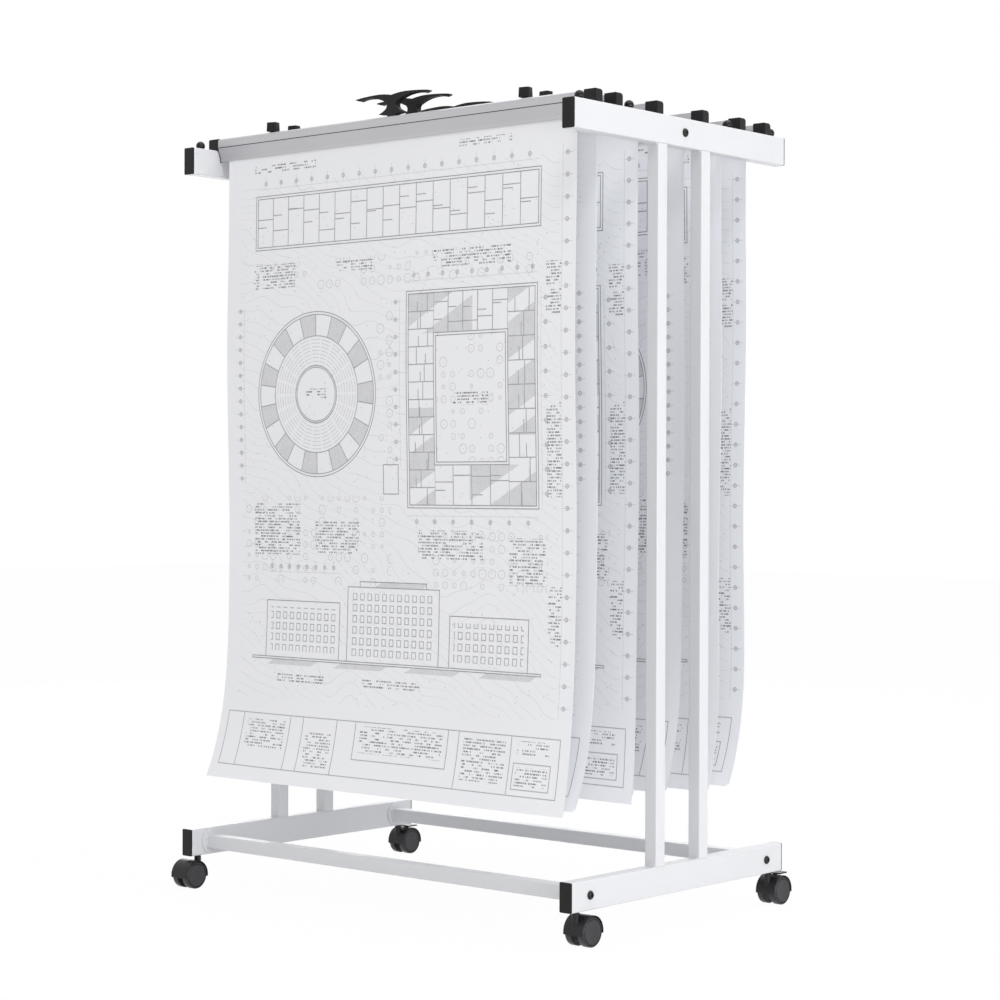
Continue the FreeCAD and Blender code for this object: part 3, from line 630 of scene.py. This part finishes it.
def hatch(add, u, v):
    """Fine slanting lines, and the wide bands that they fill, with bare paper between."""
    slant = sums(add, "ADD", u, sums(add, "MULTIPLY", v, HATCH_SLANT))
    stripes = sums(add, "FRACT", sums(add, "MULTIPLY", slant, HATCH_LINES))
    bands = sums(add, "SUBTRACT", v, sums(add, "MULTIPLY", u, BAND_SLANT))
    bands = sums(add, "FRACT", sums(add, "MULTIPLY", bands, HATCH_BANDS))
    stripes = sums(add, "LESS_THAN", stripes, HATCH_STROKE)
    return stripes, sums(add, "LESS_THAN", bands, BAND_FILL)


def rooms(add, u, v, row, seed):
    """A row of rooms with two cross walls at another depth in each."""
    way, low, high, near, far, pitch = row
    along, across = (u, v) if way == "u" else (v, u)
    place = sums(add, "DIVIDE", sums(add, "SUBTRACT", along, low), pitch)
    part = sums(add, "FRACT", place)
    number = sums(add, "FLOOR", place)
    walls = sums(add, "MINIMUM", part, sums(add, "SUBTRACT", 1.0, part))
    walls = sums(add, "MULTIPLY", walls, pitch)
    depth = far - near
    for half in (0, 1):
        start = sums(add, "ADD", number, seed + SEEDS["cross walls"] * half)
        draw = add("ShaderNodeTexWhiteNoise", None, start, noise_dimensions="1D").outputs[0]
        goal = sums(add, "MULTIPLY_ADD", draw, CROSS_WALLS[1] * depth,
                    near + CROSS_WALLS[0] * depth)
        cross = distance_from(add, across, goal)
        if half:
            end = sums(add, "MULTIPLY", sums(add, "SUBTRACT", part, SHORT_WALL), pitch)
            cross = sums(add, "MAXIMUM", cross, end)
        walls = sums(add, "MINIMUM", walls, cross)
    area = product(add, between(add, along, low, high), between(add, across, near, far))
    return product(add, line_ink(add, walls, INK_LINE), area)


def from_hall(add, where):
    """A place seen from the middle of the round hall, and how far it is."""
    off = on_places(add, "SUBTRACT", where, (*HALL, 0))
    return off, length_of(add, off)


def round_hall(add, where, stripes):
    """Tiers of seats inside a ring of rooms, every second one hatched."""
    off, reach = from_hall(add, where)
    parts = add("ShaderNodeSeparateXYZ", off)
    walls = None
    for radius in HALL_RINGS:
        ring = distance_from(add, reach, radius)
        walls = ring if walls is None else sums(add, "MINIMUM", walls, ring)
    bay = sums(add, "ARCTAN2", parts.outputs[1], parts.outputs[0])
    bay = sums(add, "MULTIPLY", bay, HALL_BAYS / (2 * math.pi))
    across = distance_from(add, sums(add, "FRACT", bay), 0.5)
    spokes = product(add, across, sums(add, "MULTIPLY", reach, 2 * math.pi / HALL_BAYS))
    in_rooms = between(add, reach, HALL_RINGS[2], HALL_RINGS[1])
    in_tiers = between(add, reach, HALL_RINGS[3], HALL_RINGS[2])
    ink = line_ink(add, walls, INK_LINE)
    ink = over(add, ink, product(add, line_ink(add, spokes, INK_LINE), in_rooms), 1.0)
    second = sums(add, "FRACT", sums(add, "MULTIPLY_ADD", bay, 0.5, 0.25))
    second = sums(add, "LESS_THAN", second, 0.5)
    ink = over(add, ink, product(add, stripes, second, in_rooms), STRENGTHS["bays"])
    tiers = sums(add, "FRACT", sums(add, "DIVIDE", reach, HALL_TIER))
    tiers = sums(add, "LESS_THAN", tiers, SEAT_LINE)
    aisles = sums(add, "LESS_THAN", across, HALL_AISLE)
    return over(add, ink, product(add, tiers, aisles, in_tiers), STRENGTHS["seats"])


def windows(add, where):
    """Rows of windows in the street fronts."""
    parts = add("ShaderNodeSeparateXYZ", where)
    edges = []
    for way in (0, 1):
        step = sums(add, "FRACT", sums(add, "DIVIDE", parts.outputs[way], WINDOW_SPACING[way]))
        step = sums(add, "MULTIPLY", sums(add, "SUBTRACT", step, 0.5), WINDOW_SPACING[way])
        edges.append(sums(add, "SUBTRACT", sums(add, "ABSOLUTE", step), WINDOW[way]))
    frame_edge = sums(add, "ABSOLUTE", sums(add, "MAXIMUM", *edges))
    return product(add, line_ink(add, frame_edge, INK_LINE), inside(add, where, FACADES))


def trees(add, where):
    """Small rings of different sizes in the gardens."""
    corner = on_places(add, "SNAP", where, (TREE_SPACING,) * 3)
    local = on_places(add, "SUBTRACT", where, corner)
    local = on_places(add, "SUBTRACT", local, (TREE_SPACING / 2, TREE_SPACING / 2, 0))
    reach = length_of(add, local)
    size = cell_noise(add, where, (TREE_SPACING,) * 2, SEEDS["crowns"])
    crown = sums(add, "MULTIPLY_ADD", size, TREE_CROWN[1], TREE_CROWN[0])
    ring = line_ink(add, distance_from(add, reach, crown), TREE_LINE)
    ring = sums(add, "MAXIMUM", ring, line_ink(add, reach, TREE_STEM))
    planted = chosen(add, where, (TREE_SPACING,) * 2, SEEDS["planting"], TREELESS)
    return product(add, ring, planted, inside(add, where, GARDENS))


def contours(add, where, u, v):
    """Wavering lines of equal height across the site, around its buildings."""
    swell = noise(add, where, 4.2, 2)
    height = sums(add, "MULTIPLY_ADD", u, CONTOUR_SLOPE, v)
    height = sums(add, "MULTIPLY_ADD", swell, CONTOUR_SWELL, height)
    height = sums(add, "FRACT", sums(add, "DIVIDE", height, CONTOUR_SPACING))
    line = sums(add, "LESS_THAN", height, CONTOUR_LINE)
    reach = from_hall(add, where)[1]
    off_hall = sums(add, "GREATER_THAN", reach, HALL_RINGS[0])
    off_walls = nearest(add, where, BUILDING_WALLS[:SOLID_WALLS], False)
    off_walls = sums(add, "GREATER_THAN", off_walls, 0.0)
    return product(add, line, off_hall, off_walls, inside(add, where, (SHEET_AREA,)))


def grid_marks(add, along, across, row):
    """A row of axis bubbles with short leaders, and a chain of dimensions beside it."""
    line, centre, half, pitch, side = row
    local = sums(add, "DIVIDE", sums(add, "SUBTRACT", along, centre - half), pitch)
    local = sums(add, "SUBTRACT", sums(add, "FRACT", local), 0.5)
    local = sums(add, "MULTIPLY", local, pitch)
    off = sums(add, "SUBTRACT", across, line)
    reach = length_of(add, add("ShaderNodeCombineXYZ", local, off, 0.0).outputs[0])
    bubble = line_ink(add, distance_from(add, reach, BUBBLE), BUBBLE_LINE)
    dot = line_ink(add, reach, BUBBLE_DOT)
    beyond = sums(add, "SUBTRACT", sums(add, "ABSOLUTE", off), LEADER_REACH)
    leader = sums(add, "MAXIMUM", sums(add, "ABSOLUTE", local), beyond)
    leader = line_ink(add, leader, LEADER_LINE)
    chain = line_ink(add, distance_from(add, off, CHAIN_OFFSET * side), CHAIN_LINE)
    marks = over(add, sums(add, "MAXIMUM", bubble, dot),
                 sums(add, "MAXIMUM", leader, chain), STRENGTHS["leaders"])
    return product(add, marks, sums(add, "LESS_THAN", distance_from(add, along, centre), half))


def drawing_ink(add):
    """How much ink lies at a place of a sheet, from 0 to 1."""
    where = add("ShaderNodeUVMap", uv_map="plan").outputs[0]
    parts = add("ShaderNodeSeparateXYZ", where)
    u, v = parts.outputs[0], parts.outputs[1]
    on_site = inside(add, where, (SHEET_AREA,))
    stripes, bands = hatch(add, u, v)
    specks = chosen(add, where, (SPECK, SPECK), SEEDS["specks"], SPECKLESS)
    layers = [
        ("titles", line_ink(add, nearest(add, where, TITLE_BOXES, True), INK_LINE)),
        ("letters", product(add, inside(add, where, LETTERING), lettering(add, where, v))),
        ("hatching", product(add, stripes, bands, inside(add, where, HATCHED))),
        ("hall", round_hall(add, where, stripes)),
        ("windows", windows(add, where)),
        ("trees", trees(add, where)),
        ("contours", contours(add, where, u, v)),
        ("specks", product(add, specks, on_site)),
    ]
    layers += [("rooms", rooms(add, u, v, row, SEEDS["rows of rooms"] * number))
               for number, row in enumerate(ROOM_ROWS)]
    layers += [("axes", grid_marks(add, u, v, row)) for row in GRID_ROWS]
    layers += [("axes", grid_marks(add, v, u, column)) for column in GRID_COLUMNS]

    ink = line_ink(add, nearest(add, where, BUILDING_WALLS, True), INK_LINE)
    ink = sums(add, "MULTIPLY", ink, STRENGTHS["walls"])
    for kind, layer in layers:
        ink = over(add, ink, layer, STRENGTHS[kind])
    worn = sums(add, "MULTIPLY_ADD", noise(add, where, 55, 3), *WEAR)
    return sums(add, "MULTIPLY", ink, worn)


def plan_paper(name, shade, strength):
    """Plotter paper of a shade: fibres, faint clouds, and the drawing at some strength."""
    material, shader, add = new_finish(name, shade, 0.82, specular=0.20)
    where = places(add)
    fibres = noise(add, where, 1900, 4, 0.65)
    cockle = noise(add, where, 38, 3)
    add.link(relief(add, fibres, 0.16, 0.00004, relief(add, cockle, 0.30, 0.0006)),
             shader.inputs["Normal"])
    clouds = noise(add, where, 4, 3)
    darker = [0.988 * part for part in shade]
    lighter = [1.012 * part for part in shade]
    ink = sums(add, "MULTIPLY", drawing_ink(add), strength)
    add.link(painted(add, ink, shade_of(add, clouds, darker, lighter), INK),
             shader.inputs["Base Color"])
    return material


# Painted light and shade on the paper: the front set is painted a darker white, and the sets behind
# it, which hang in the shade of those in front, a whiter one
DIMMED_FRONT_WHITE = (0.848, 0.852, 0.876)
LIFTED_PAPER_WHITE = (0.930, 0.942, 0.975)
BACK_STRENGTH = 0.10            # how much of a drawing shows through its sheet

coat = powder_coat()
bar_aluminium = brushed_aluminium("bar_aluminium", True)
jaw_aluminium = brushed_aluminium("jaw_aluminium", False)
black = moulded_plastic(
    "black_plastic", (0.006, 0.006, 0.007), (0.009, 0.009, 0.0105), 0.42, 2200, 0.26)
gloss_black = moulded_plastic(
    "gloss_black_plastic", (0.003, 0.003, 0.004), (0.006, 0.006, 0.007), 0.09, 500, 0.32)
hood_black = moulded_plastic(
    "caster_plastic", (0.011, 0.011, 0.013), (0.017, 0.017, 0.019), 0.34, 1800, 0.30)
wheel_black = moulded_plastic(
    "wheel_plastic", (0.024, 0.024, 0.028), (0.033, 0.033, 0.038), 0.34, 1500, 0.40)
steel = blackened_steel()
dimmed_print = plan_paper("dimmed_paper_print", DIMMED_FRONT_WHITE, 1.0)
lifted_print = plan_paper("lifted_paper_print", LIFTED_PAPER_WHITE, 1.0)
paper_back = plan_paper("paper_back", LIFTED_PAPER_WHITE, BACK_STRENGTH)


# ---------------------------------------------------------------- steel frame

for side in SIDES:
    finished(f"{side}_side_frame", coat, 0.0003)
for place in CROSSBARS:
    finished(f"{place}_crossbar", coat, 0.0004)
finished("frame_bolts", steel, 0.00025)
finished("rail_end_caps", black, 0.0003)
finished("rail_stops", gloss_black, 0.0004)

# ---------------------------------------------------------------- casters

for caster in CASTERS:
    finished(f"caster_housing_{caster}", hood_black, 0.0003)
for side in SIDES:
    finished(f"brake_pedal_rear_{side}", hood_black, 0.0006)

# ---------------------------------------------------------------- clamps

EXTRUSION_ANGLE = 12            # degrees, so that the extrusions' slight corners are rounded too
for clamp in SHEET_SETS:
    finished(f"clamp_bar_{clamp}", bar_aluminium, 0.0002, EXTRUSION_ANGLE)
    finished(f"clamp_jaw_{clamp}", jaw_aluminium, 0.0002, EXTRUSION_ANGLE)
    finished(f"clamp_end_caps_{clamp}", black, 0.0005)
    finished(f"clamp_handle_{clamp}", black, 0.0015)

# Thumb knobs with finger grooves, each on its screw
KNOB_HEIGHT = 0.0165
KNOB_CORNER = 0.0030
KNOB_TOP = (0.94, 0.92, 1)      # how much narrower its top is
KNOB_GROOVES = (-0.0052, 0.0, 0.0052)
GROOVE_HALF = 0.0007
GROOVE_DEPTH = 0.0006
GROOVE_DRAFT = 0.0001           # how much a groove narrows to its bottom
KNOB_EDGE = 0.0010
NECK_RADIUS = 0.0046
NECK_HEIGHT = 0.0034
NECK_DROP = 0.0016              # from the knob's underside to the neck's middle
NECK_END = (0.0004, 0.0002)     # how far its end tapers in and down
SCREW_RADIUS = 0.0029
SCREW_END = 0.0006
# How far each clamp's left and right knob is turned as it was last tightened, in degrees
KNOB_TURNS = {"a": (15, 12), "b": (6, -5), "c": (-8, 4), "d": (9, 14), "e": (-4, -11), "f": (12, 7)}


def thumb_knob():
    """A knob, its neck and its screw, standing where the left one of clamp a does."""
    low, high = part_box("clamp_knob_left_a")
    centre = (low + high) / 2
    underside = high.z - KNOB_HEIGHT

    head = block("knob_head", (high.x - low.x, high.y - low.y, KNOB_HEIGHT),
                 (centre.x, centre.y, high.z - KNOB_HEIGHT / 2))
    edit(head)
    pick(head, "edges", lambda edge: abs(edge.verts[0].co.z - edge.verts[1].co.z) > 0.01)
    bpy.ops.mesh.bevel(offset=KNOB_CORNER, segments=4)
    for groove in KNOB_GROOVES:
        for side_x in (groove - GROOVE_HALF, groove + GROOVE_HALF):
            bpy.ops.mesh.select_all(action="SELECT")
            bpy.ops.mesh.bisect(plane_co=(centre.x + side_x, 0, 0), plane_no=(1, 0, 0))
    pick(head, "faces", lambda face: face.normal.z > 0.9)
    bpy.ops.transform.resize(value=KNOB_TOP)
    pick(head, "faces", lambda face: abs(face.normal.y) > 0.9 and any(
        abs(face.calc_center_median().x - centre.x - groove) < GROOVE_HALF
        for groove in KNOB_GROOVES))
    bpy.ops.mesh.inset(thickness=GROOVE_DRAFT, depth=-GROOVE_DEPTH, use_individual=True)
    leave()
    rounded(head, KNOB_EDGE, 50)

    neck = rod("knob_neck", NECK_RADIUS, NECK_HEIGHT,
               (centre.x, centre.y, underside - NECK_DROP), sides=40)
    edit(neck)
    pick(neck, "faces", lambda face: face.normal.z < -0.9)
    bpy.ops.mesh.inset(thickness=NECK_END[0])
    bpy.ops.transform.translate(value=(0, 0, -NECK_END[1]))
    leave()

    screw = rod("knob_screw", SCREW_RADIUS, underside - low.z,
                (centre.x, centre.y, (underside + low.z) / 2))
    edit(screw)
    pick(screw, "faces", lambda face: face.normal.z < -0.9)
    bpy.ops.mesh.inset(thickness=SCREW_END, depth=0)
    leave()
    return joined("thumb_knob", [head, neck, screw])


first_knob = thumb_knob()
knob_middle = middle("clamp_knob_left_a")
for clamp, turns in KNOB_TURNS.items():
    for side, degrees in zip(SIDES, turns):
        node = f"clamp_knob_{side}_{clamp}"
        turn = Matrix.Rotation(math.radians(degrees), 4, "Z")
        knob = copied(first_knob, f"thumb_knob_{side}_{clamp}", -knob_middle)
        knob.data.transform(Matrix.Translation(middle(node)) @ turn)
        dress(knob, black)
        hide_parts(node)
        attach(knob, f"knob_{side}_{clamp}")
bpy.data.objects.remove(first_knob)

# ---------------------------------------------------------------- caster wheels

WHEEL_GAP = 0.0072              # from a caster's middle to each wheel
WHEEL_RIM = 0.0020
WHEEL_EDGE = 0.0009
# Insets of a wheel's faces, as (width, height): a groove inside the rim, a raised ring and a
# shallow dish outside, and a hollow inside
OUTER_INSETS = (
    (0.0006, 0), (0.0003, -0.0016), (0.0010, 0), (0.0010, 0.0018), (0.0012, 0), (0.0060, -0.0004))
INNER_INSETS = ((0.0040, 0), (0.0010, -0.0020))
AXLE_RADIUS = 0.0030
AXLE_OVERLAP = 0.0010           # into each wheel


def wheel_pair():
    """Two wheels on their axle, where the front left ones are."""
    low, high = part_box("caster_wheels_front_left")
    centre = (low + high) / 2
    radius = (high.z - low.z) / 2
    outer = (high.x - low.x) / 2
    width = outer - WHEEL_GAP
    halves = []
    for way in (-1, 1):
        place = (centre.x + way * (WHEEL_GAP + width / 2), centre.y, centre.z)
        wheel = rod("wheel", radius, width, place, "X", sides=96)
        edge_x = centre.x * way + outer - 0.0001
        edit(wheel)
        pick(wheel, "edges", lambda edge: min(vert.co.x * way for vert in edge.verts) > edge_x)
        bpy.ops.mesh.bevel(offset=WHEEL_RIM, segments=3)
        pick(wheel, "faces", lambda face: face.normal.x * way > 0.99)
        inset_steps(OUTER_INSETS)
        pick(wheel, "faces", lambda face: face.normal.x * way < -0.9)
        inset_steps(INNER_INSETS)
        leave()
        halves.append(rounded(wheel, WHEEL_EDGE))
    axle = rod("axle", AXLE_RADIUS, 2 * (WHEEL_GAP + AXLE_OVERLAP), centre, "X", sides=24)
    return joined("wheel_pair", halves + [axle])


first_wheels = wheel_pair()
wheels_middle = middle("caster_wheels_front_left")
for caster in CASTERS:
    node = f"caster_wheels_{caster}"
    wheels = copied(first_wheels, f"wheel_pair_{caster}", middle(node) - wheels_middle)
    dress(wheels, wheel_black)
    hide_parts(node)
    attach(wheels, f"wheels_{caster}")
bpy.data.objects.remove(first_wheels)

# ---------------------------------------------------------------- welds

BEAD_RADIUS = 0.0027
BEAD_LENGTH = 0.019
BEAD_RIPPLES = 8
BEAD_WIDTHS = (0.60, 1.12)      # of a bead's hollows and ripples, as shares of its radius
BEAD_END = 0.45                 # and of its two ends
TUBE_HALF = 0.0125              # half the width of the uprights and crossbars
RAIL_UNDERSIDE = rail_top - 0.050
BOTTOM_BAR_TOP = 0.110
UPRIGHT_MIDDLES = (-0.062, 0.062)
FLANGE_FACE = 0.442             # from the rack's middle to the inner faces of its flanges


def weld_bead():
    """A short rippled weld bead along X, about the origin."""
    bead = rod("bead", BEAD_RADIUS, BEAD_LENGTH, (0, 0, 0), "X", sides=10)
    cuts = [BEAD_LENGTH * (ripple / BEAD_RIPPLES - 0.5) for ripple in range(BEAD_RIPPLES + 1)]
    edit(bead)
    for along in cuts[1:-1]:
        bpy.ops.mesh.select_all(action="SELECT")
        bpy.ops.mesh.bisect(plane_co=(along, 0, 0), plane_no=(1, 0, 0))
    for ripple, along in enumerate(cuts):
        pick(bead, "verts", lambda vert: abs(vert.co.x - along) < 0.0001)
        wide = BEAD_END if ripple in (0, BEAD_RIPPLES) else BEAD_WIDTHS[ripple % 2]
        bpy.ops.transform.resize(value=(1, wide, wide))
    leave()
    bpy.ops.object.shade_smooth()
    return bead


def lay_bead(first, place, turn=Matrix.Identity(4)):
    """A copy of the first bead, turned and put in its place."""
    bead = copied(first, "bead", (0, 0, 0))
    bead.data.transform(Matrix.Translation(place) @ turn)
    return bead


first_bead = weld_bead()
beads = []
for way in (-1, 1):
    for upright in UPRIGHT_MIDDLES:
        for face in (-1, 1):
            for height in (RAIL_UNDERSIDE, BOTTOM_BAR_TOP):
                spot = (way * middle("right_side_frame").x, upright + face * TUBE_HALF, height)
                beads.append(lay_bead(first_bead, spot))
for place in CROSSBARS:
    centre = middle(f"{place}_crossbar")
    for way in (-1, 1):
        for quarter in range(4):
            round_bar = Matrix.Rotation(quarter * math.pi / 2, 4, "X")
            off = round_bar @ Vector((0, 0, TUBE_HALF))
            spot = (way * FLANGE_FACE, centre.y + off.y, centre.z + off.z)
            across_bar = Matrix.Rotation(math.pi / 2, 4, "Z")
            beads.append(lay_bead(first_bead, spot, round_bar @ across_bar))
bpy.data.objects.remove(first_bead)
welds = joined("weld_beads", beads)
dress(welds, coat)
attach(welds, "rack")

# ---------------------------------------------------------------- hanging drawings

def hanging_path(length, curl, phase):
    """(forward, drop) down a sheet that sways a little and curls forward at its lower end."""
    step = length / SHEET_ROWS
    forward = drop = 0.0
    path = [(forward, drop)]
    for row in range(SHEET_ROWS):
        along = (row + 0.5) * step
        free = min(1.0, max(0.0, (along - SWAY_START) / SWAY_RISE))
        lean = SWAY * free * math.sin(2 * math.pi * (along / SWAY_LENGTH + phase))
        # Leaning more and more, by the square of the way down, takes the end forward by curl
        curled = max(0.0, (along - length + CURL_RUN) / CURL_RUN)
        lean += 3 * curl / CURL_RUN * curled ** 2
        forward += step * math.sin(lean)
        drop += step * math.cos(lean)
        path.append((forward, drop))
    return path


def hang_sheet(clamp, layer, curl_left, curl_right, trim, mirrored):
    """One drawing of a clamp's set, from the front one, layer 0, to the rear."""
    length = SHEET_LENGTH - trim
    bpy.ops.mesh.primitive_grid_add(
        x_subdivisions=SHEET_COLUMNS, y_subdivisions=SHEET_ROWS, size=1)
    sheet = named(f"drawing_{clamp}_{layer + 1}")
    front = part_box(f"clamp_end_caps_{clamp}")[0].y + CLAMP_HALF_DEPTH - PLAN_GRIP_BACK
    front += SHEET_CLEARANCE + layer * SHEET_SPACING
    phase = SWAY_STEP * list(SHEET_SETS).index(clamp)
    paths = {}
    for point in sheet.data.vertices:
        across = point.co.x + 0.5
        row = round((0.5 - point.co.y) * SHEET_ROWS)
        if across not in paths:
            curl = curl_left + (curl_right - curl_left) * across
            paths[across] = hanging_path(length, curl, phase)
        forward, drop = paths[across][row]
        down = row / SHEET_ROWS
        ripple = RIPPLE_ACROSS * across + RIPPLE_DOWN * down + RIPPLE_STEP * phase
        forward += RIPPLE * down ** 2 * math.sin(ripple)
        point.co = ((across - 0.5) * SHEET_WIDTH, front - forward, rail_top + SHEET_TOP - drop)
    layout = sheet.data.uv_layers.active
    layout.name = "plan"
    for corner in layout.data:
        u = 1 - corner.uv.x if mirrored else corner.uv.x
        corner.uv = (u * SHEET_WIDTH, corner.uv.y * length)
    solid = sheet.modifiers.new("paper", "SOLIDIFY")
    solid.thickness = SHEET_THICKNESS
    solid.offset = -1
    solid.material_offset = 1
    solid.material_offset_rim = 1
    dress(sheet, dimmed_print if clamp == "a" else lifted_print, paper_back)
    use(sheet)
    bpy.ops.object.modifier_apply(modifier=solid.name)
    smoothed(sheet)
    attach(sheet, f"clamp_{clamp}")
    return sheet


for clamp, sheets in SHEET_SETS.items():
    for layer, sheet in enumerate(sheets):
        piece = hang_sheet(clamp, layer, *sheet)
        if layer == 0:
            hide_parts(f"plan_sheet_{clamp}")

# ---------------------------------------------------------------- studio

FLOOR_COLOR = (0.90, 0.90, 0.90)
FLOOR_GLOW = 0.97               # share of white in the floor that the camera sees
SURROUND = 0.63                 # light of the white surround on the object
# Lamps: (name, place, what it faces, width and height, watts)
SOFTBOXES = (
    ("key", (4.8, -0.7, 0.62), (0, 0, 0.4), (2.6, 1.2), 68),
    ("front", (3.6, -3.4, 1.0), (0, 0, 0.7), (2.4, 1.8), 15),
    ("top", (0.3, 0.2, 4.6), (0, 0, 0.5), (5.2, 5.2), 100),
    ("rear", (-3.4, 3.4, 1.4), (0, 0, 0.7), (2.6, 2.2), 38),
    ("high", (2.4, -1.9, 4.4), (0, 0, 1.0), (0.60, 0.60), 24),
)


def studio():
    """A pale floor and a white surround."""
    bpy.ops.mesh.primitive_plane_add(size=30, location=(0, 0, 0))
    floor = named("floor")
    material, shader, add = new_finish("studio_floor", FLOOR_COLOR, 0.9, specular=0.0)
    tree = material.node_tree
    glow = add("ShaderNodeEmission", (1, 1, 1, 1), 1.0)
    rays = add("ShaderNodeLightPath")
    seen = sums(add, "MAXIMUM", rays.outputs["Is Camera Ray"], rays.outputs["Is Glossy Ray"])
    seen = sums(add, "MAXIMUM", seen, rays.outputs["Is Transmission Ray"])
    mix = add("ShaderNodeMixShader", sums(add, "MULTIPLY", seen, FLOOR_GLOW),
              shader.outputs[0], glow.outputs[0])
    add.link(mix.outputs[0], tree.nodes["Material Output"].inputs["Surface"])
    dress(floor, material)

    world = bpy.data.worlds.new("studio")
    bpy.context.scene.world = world
    world.use_nodes = True
    tree = world.node_tree
    background = tree.nodes["Background"]
    background.inputs["Color"].default_value = (1, 1, 1, 1)
    path = tree.nodes.new("ShaderNodeLightPath")
    seen = path.outputs["Is Camera Ray"]
    for name in ("Is Glossy Ray", "Is Transmission Ray"):
        both = tree.nodes.new("ShaderNodeMath")
        both.operation = "MAXIMUM"
        tree.links.new(seen, both.inputs[0])
        tree.links.new(path.outputs[name], both.inputs[1])
        seen = both.outputs[0]
    level = tree.nodes.new("ShaderNodeMapRange")
    level.inputs[3].default_value = SURROUND
    level.inputs[4].default_value = 1.0
    tree.links.new(seen, level.inputs[0])
    tree.links.new(level.outputs[0], background.inputs["Strength"])


def softbox(name, place, towards, size, power):
    """A soft lamp that faces a place."""
    lamp = bpy.data.lights.new(name, "AREA")
    lamp.shape = "RECTANGLE"
    lamp.size, lamp.size_y = size
    lamp.energy = power
    holder = bpy.data.objects.new(name, lamp)
    bpy.context.scene.collection.objects.link(holder)
    holder.location = place
    aim = Vector(towards) - Vector(place)
    holder.rotation_euler = aim.to_track_quat("-Z", "Y").to_euler()


def set_camera():
    """The camera at its place, turned from facing the rear."""
    film = bpy.data.cameras.new("camera")
    film.lens = CAMERA_LENS
    film.sensor_width = FILM_WIDTH
    camera = bpy.data.objects.new("camera", film)
    bpy.context.scene.collection.objects.link(camera)
    camera.matrix_world = (
        Matrix.Translation(CAMERA_PLACE)
        @ Matrix.Rotation(CAMERA_TURN, 4, "Z")
        @ Matrix.Rotation(math.pi / 2 + CAMERA_TILT, 4, "X")
        @ Matrix.Rotation(CAMERA_ROLL, 4, "Z")
    )
    bpy.context.scene.camera = camera


set_camera()
studio()
for lamp in SOFTBOXES:
    softbox(*lamp)
bpy.context.scene.view_settings.view_transform = "Standard"
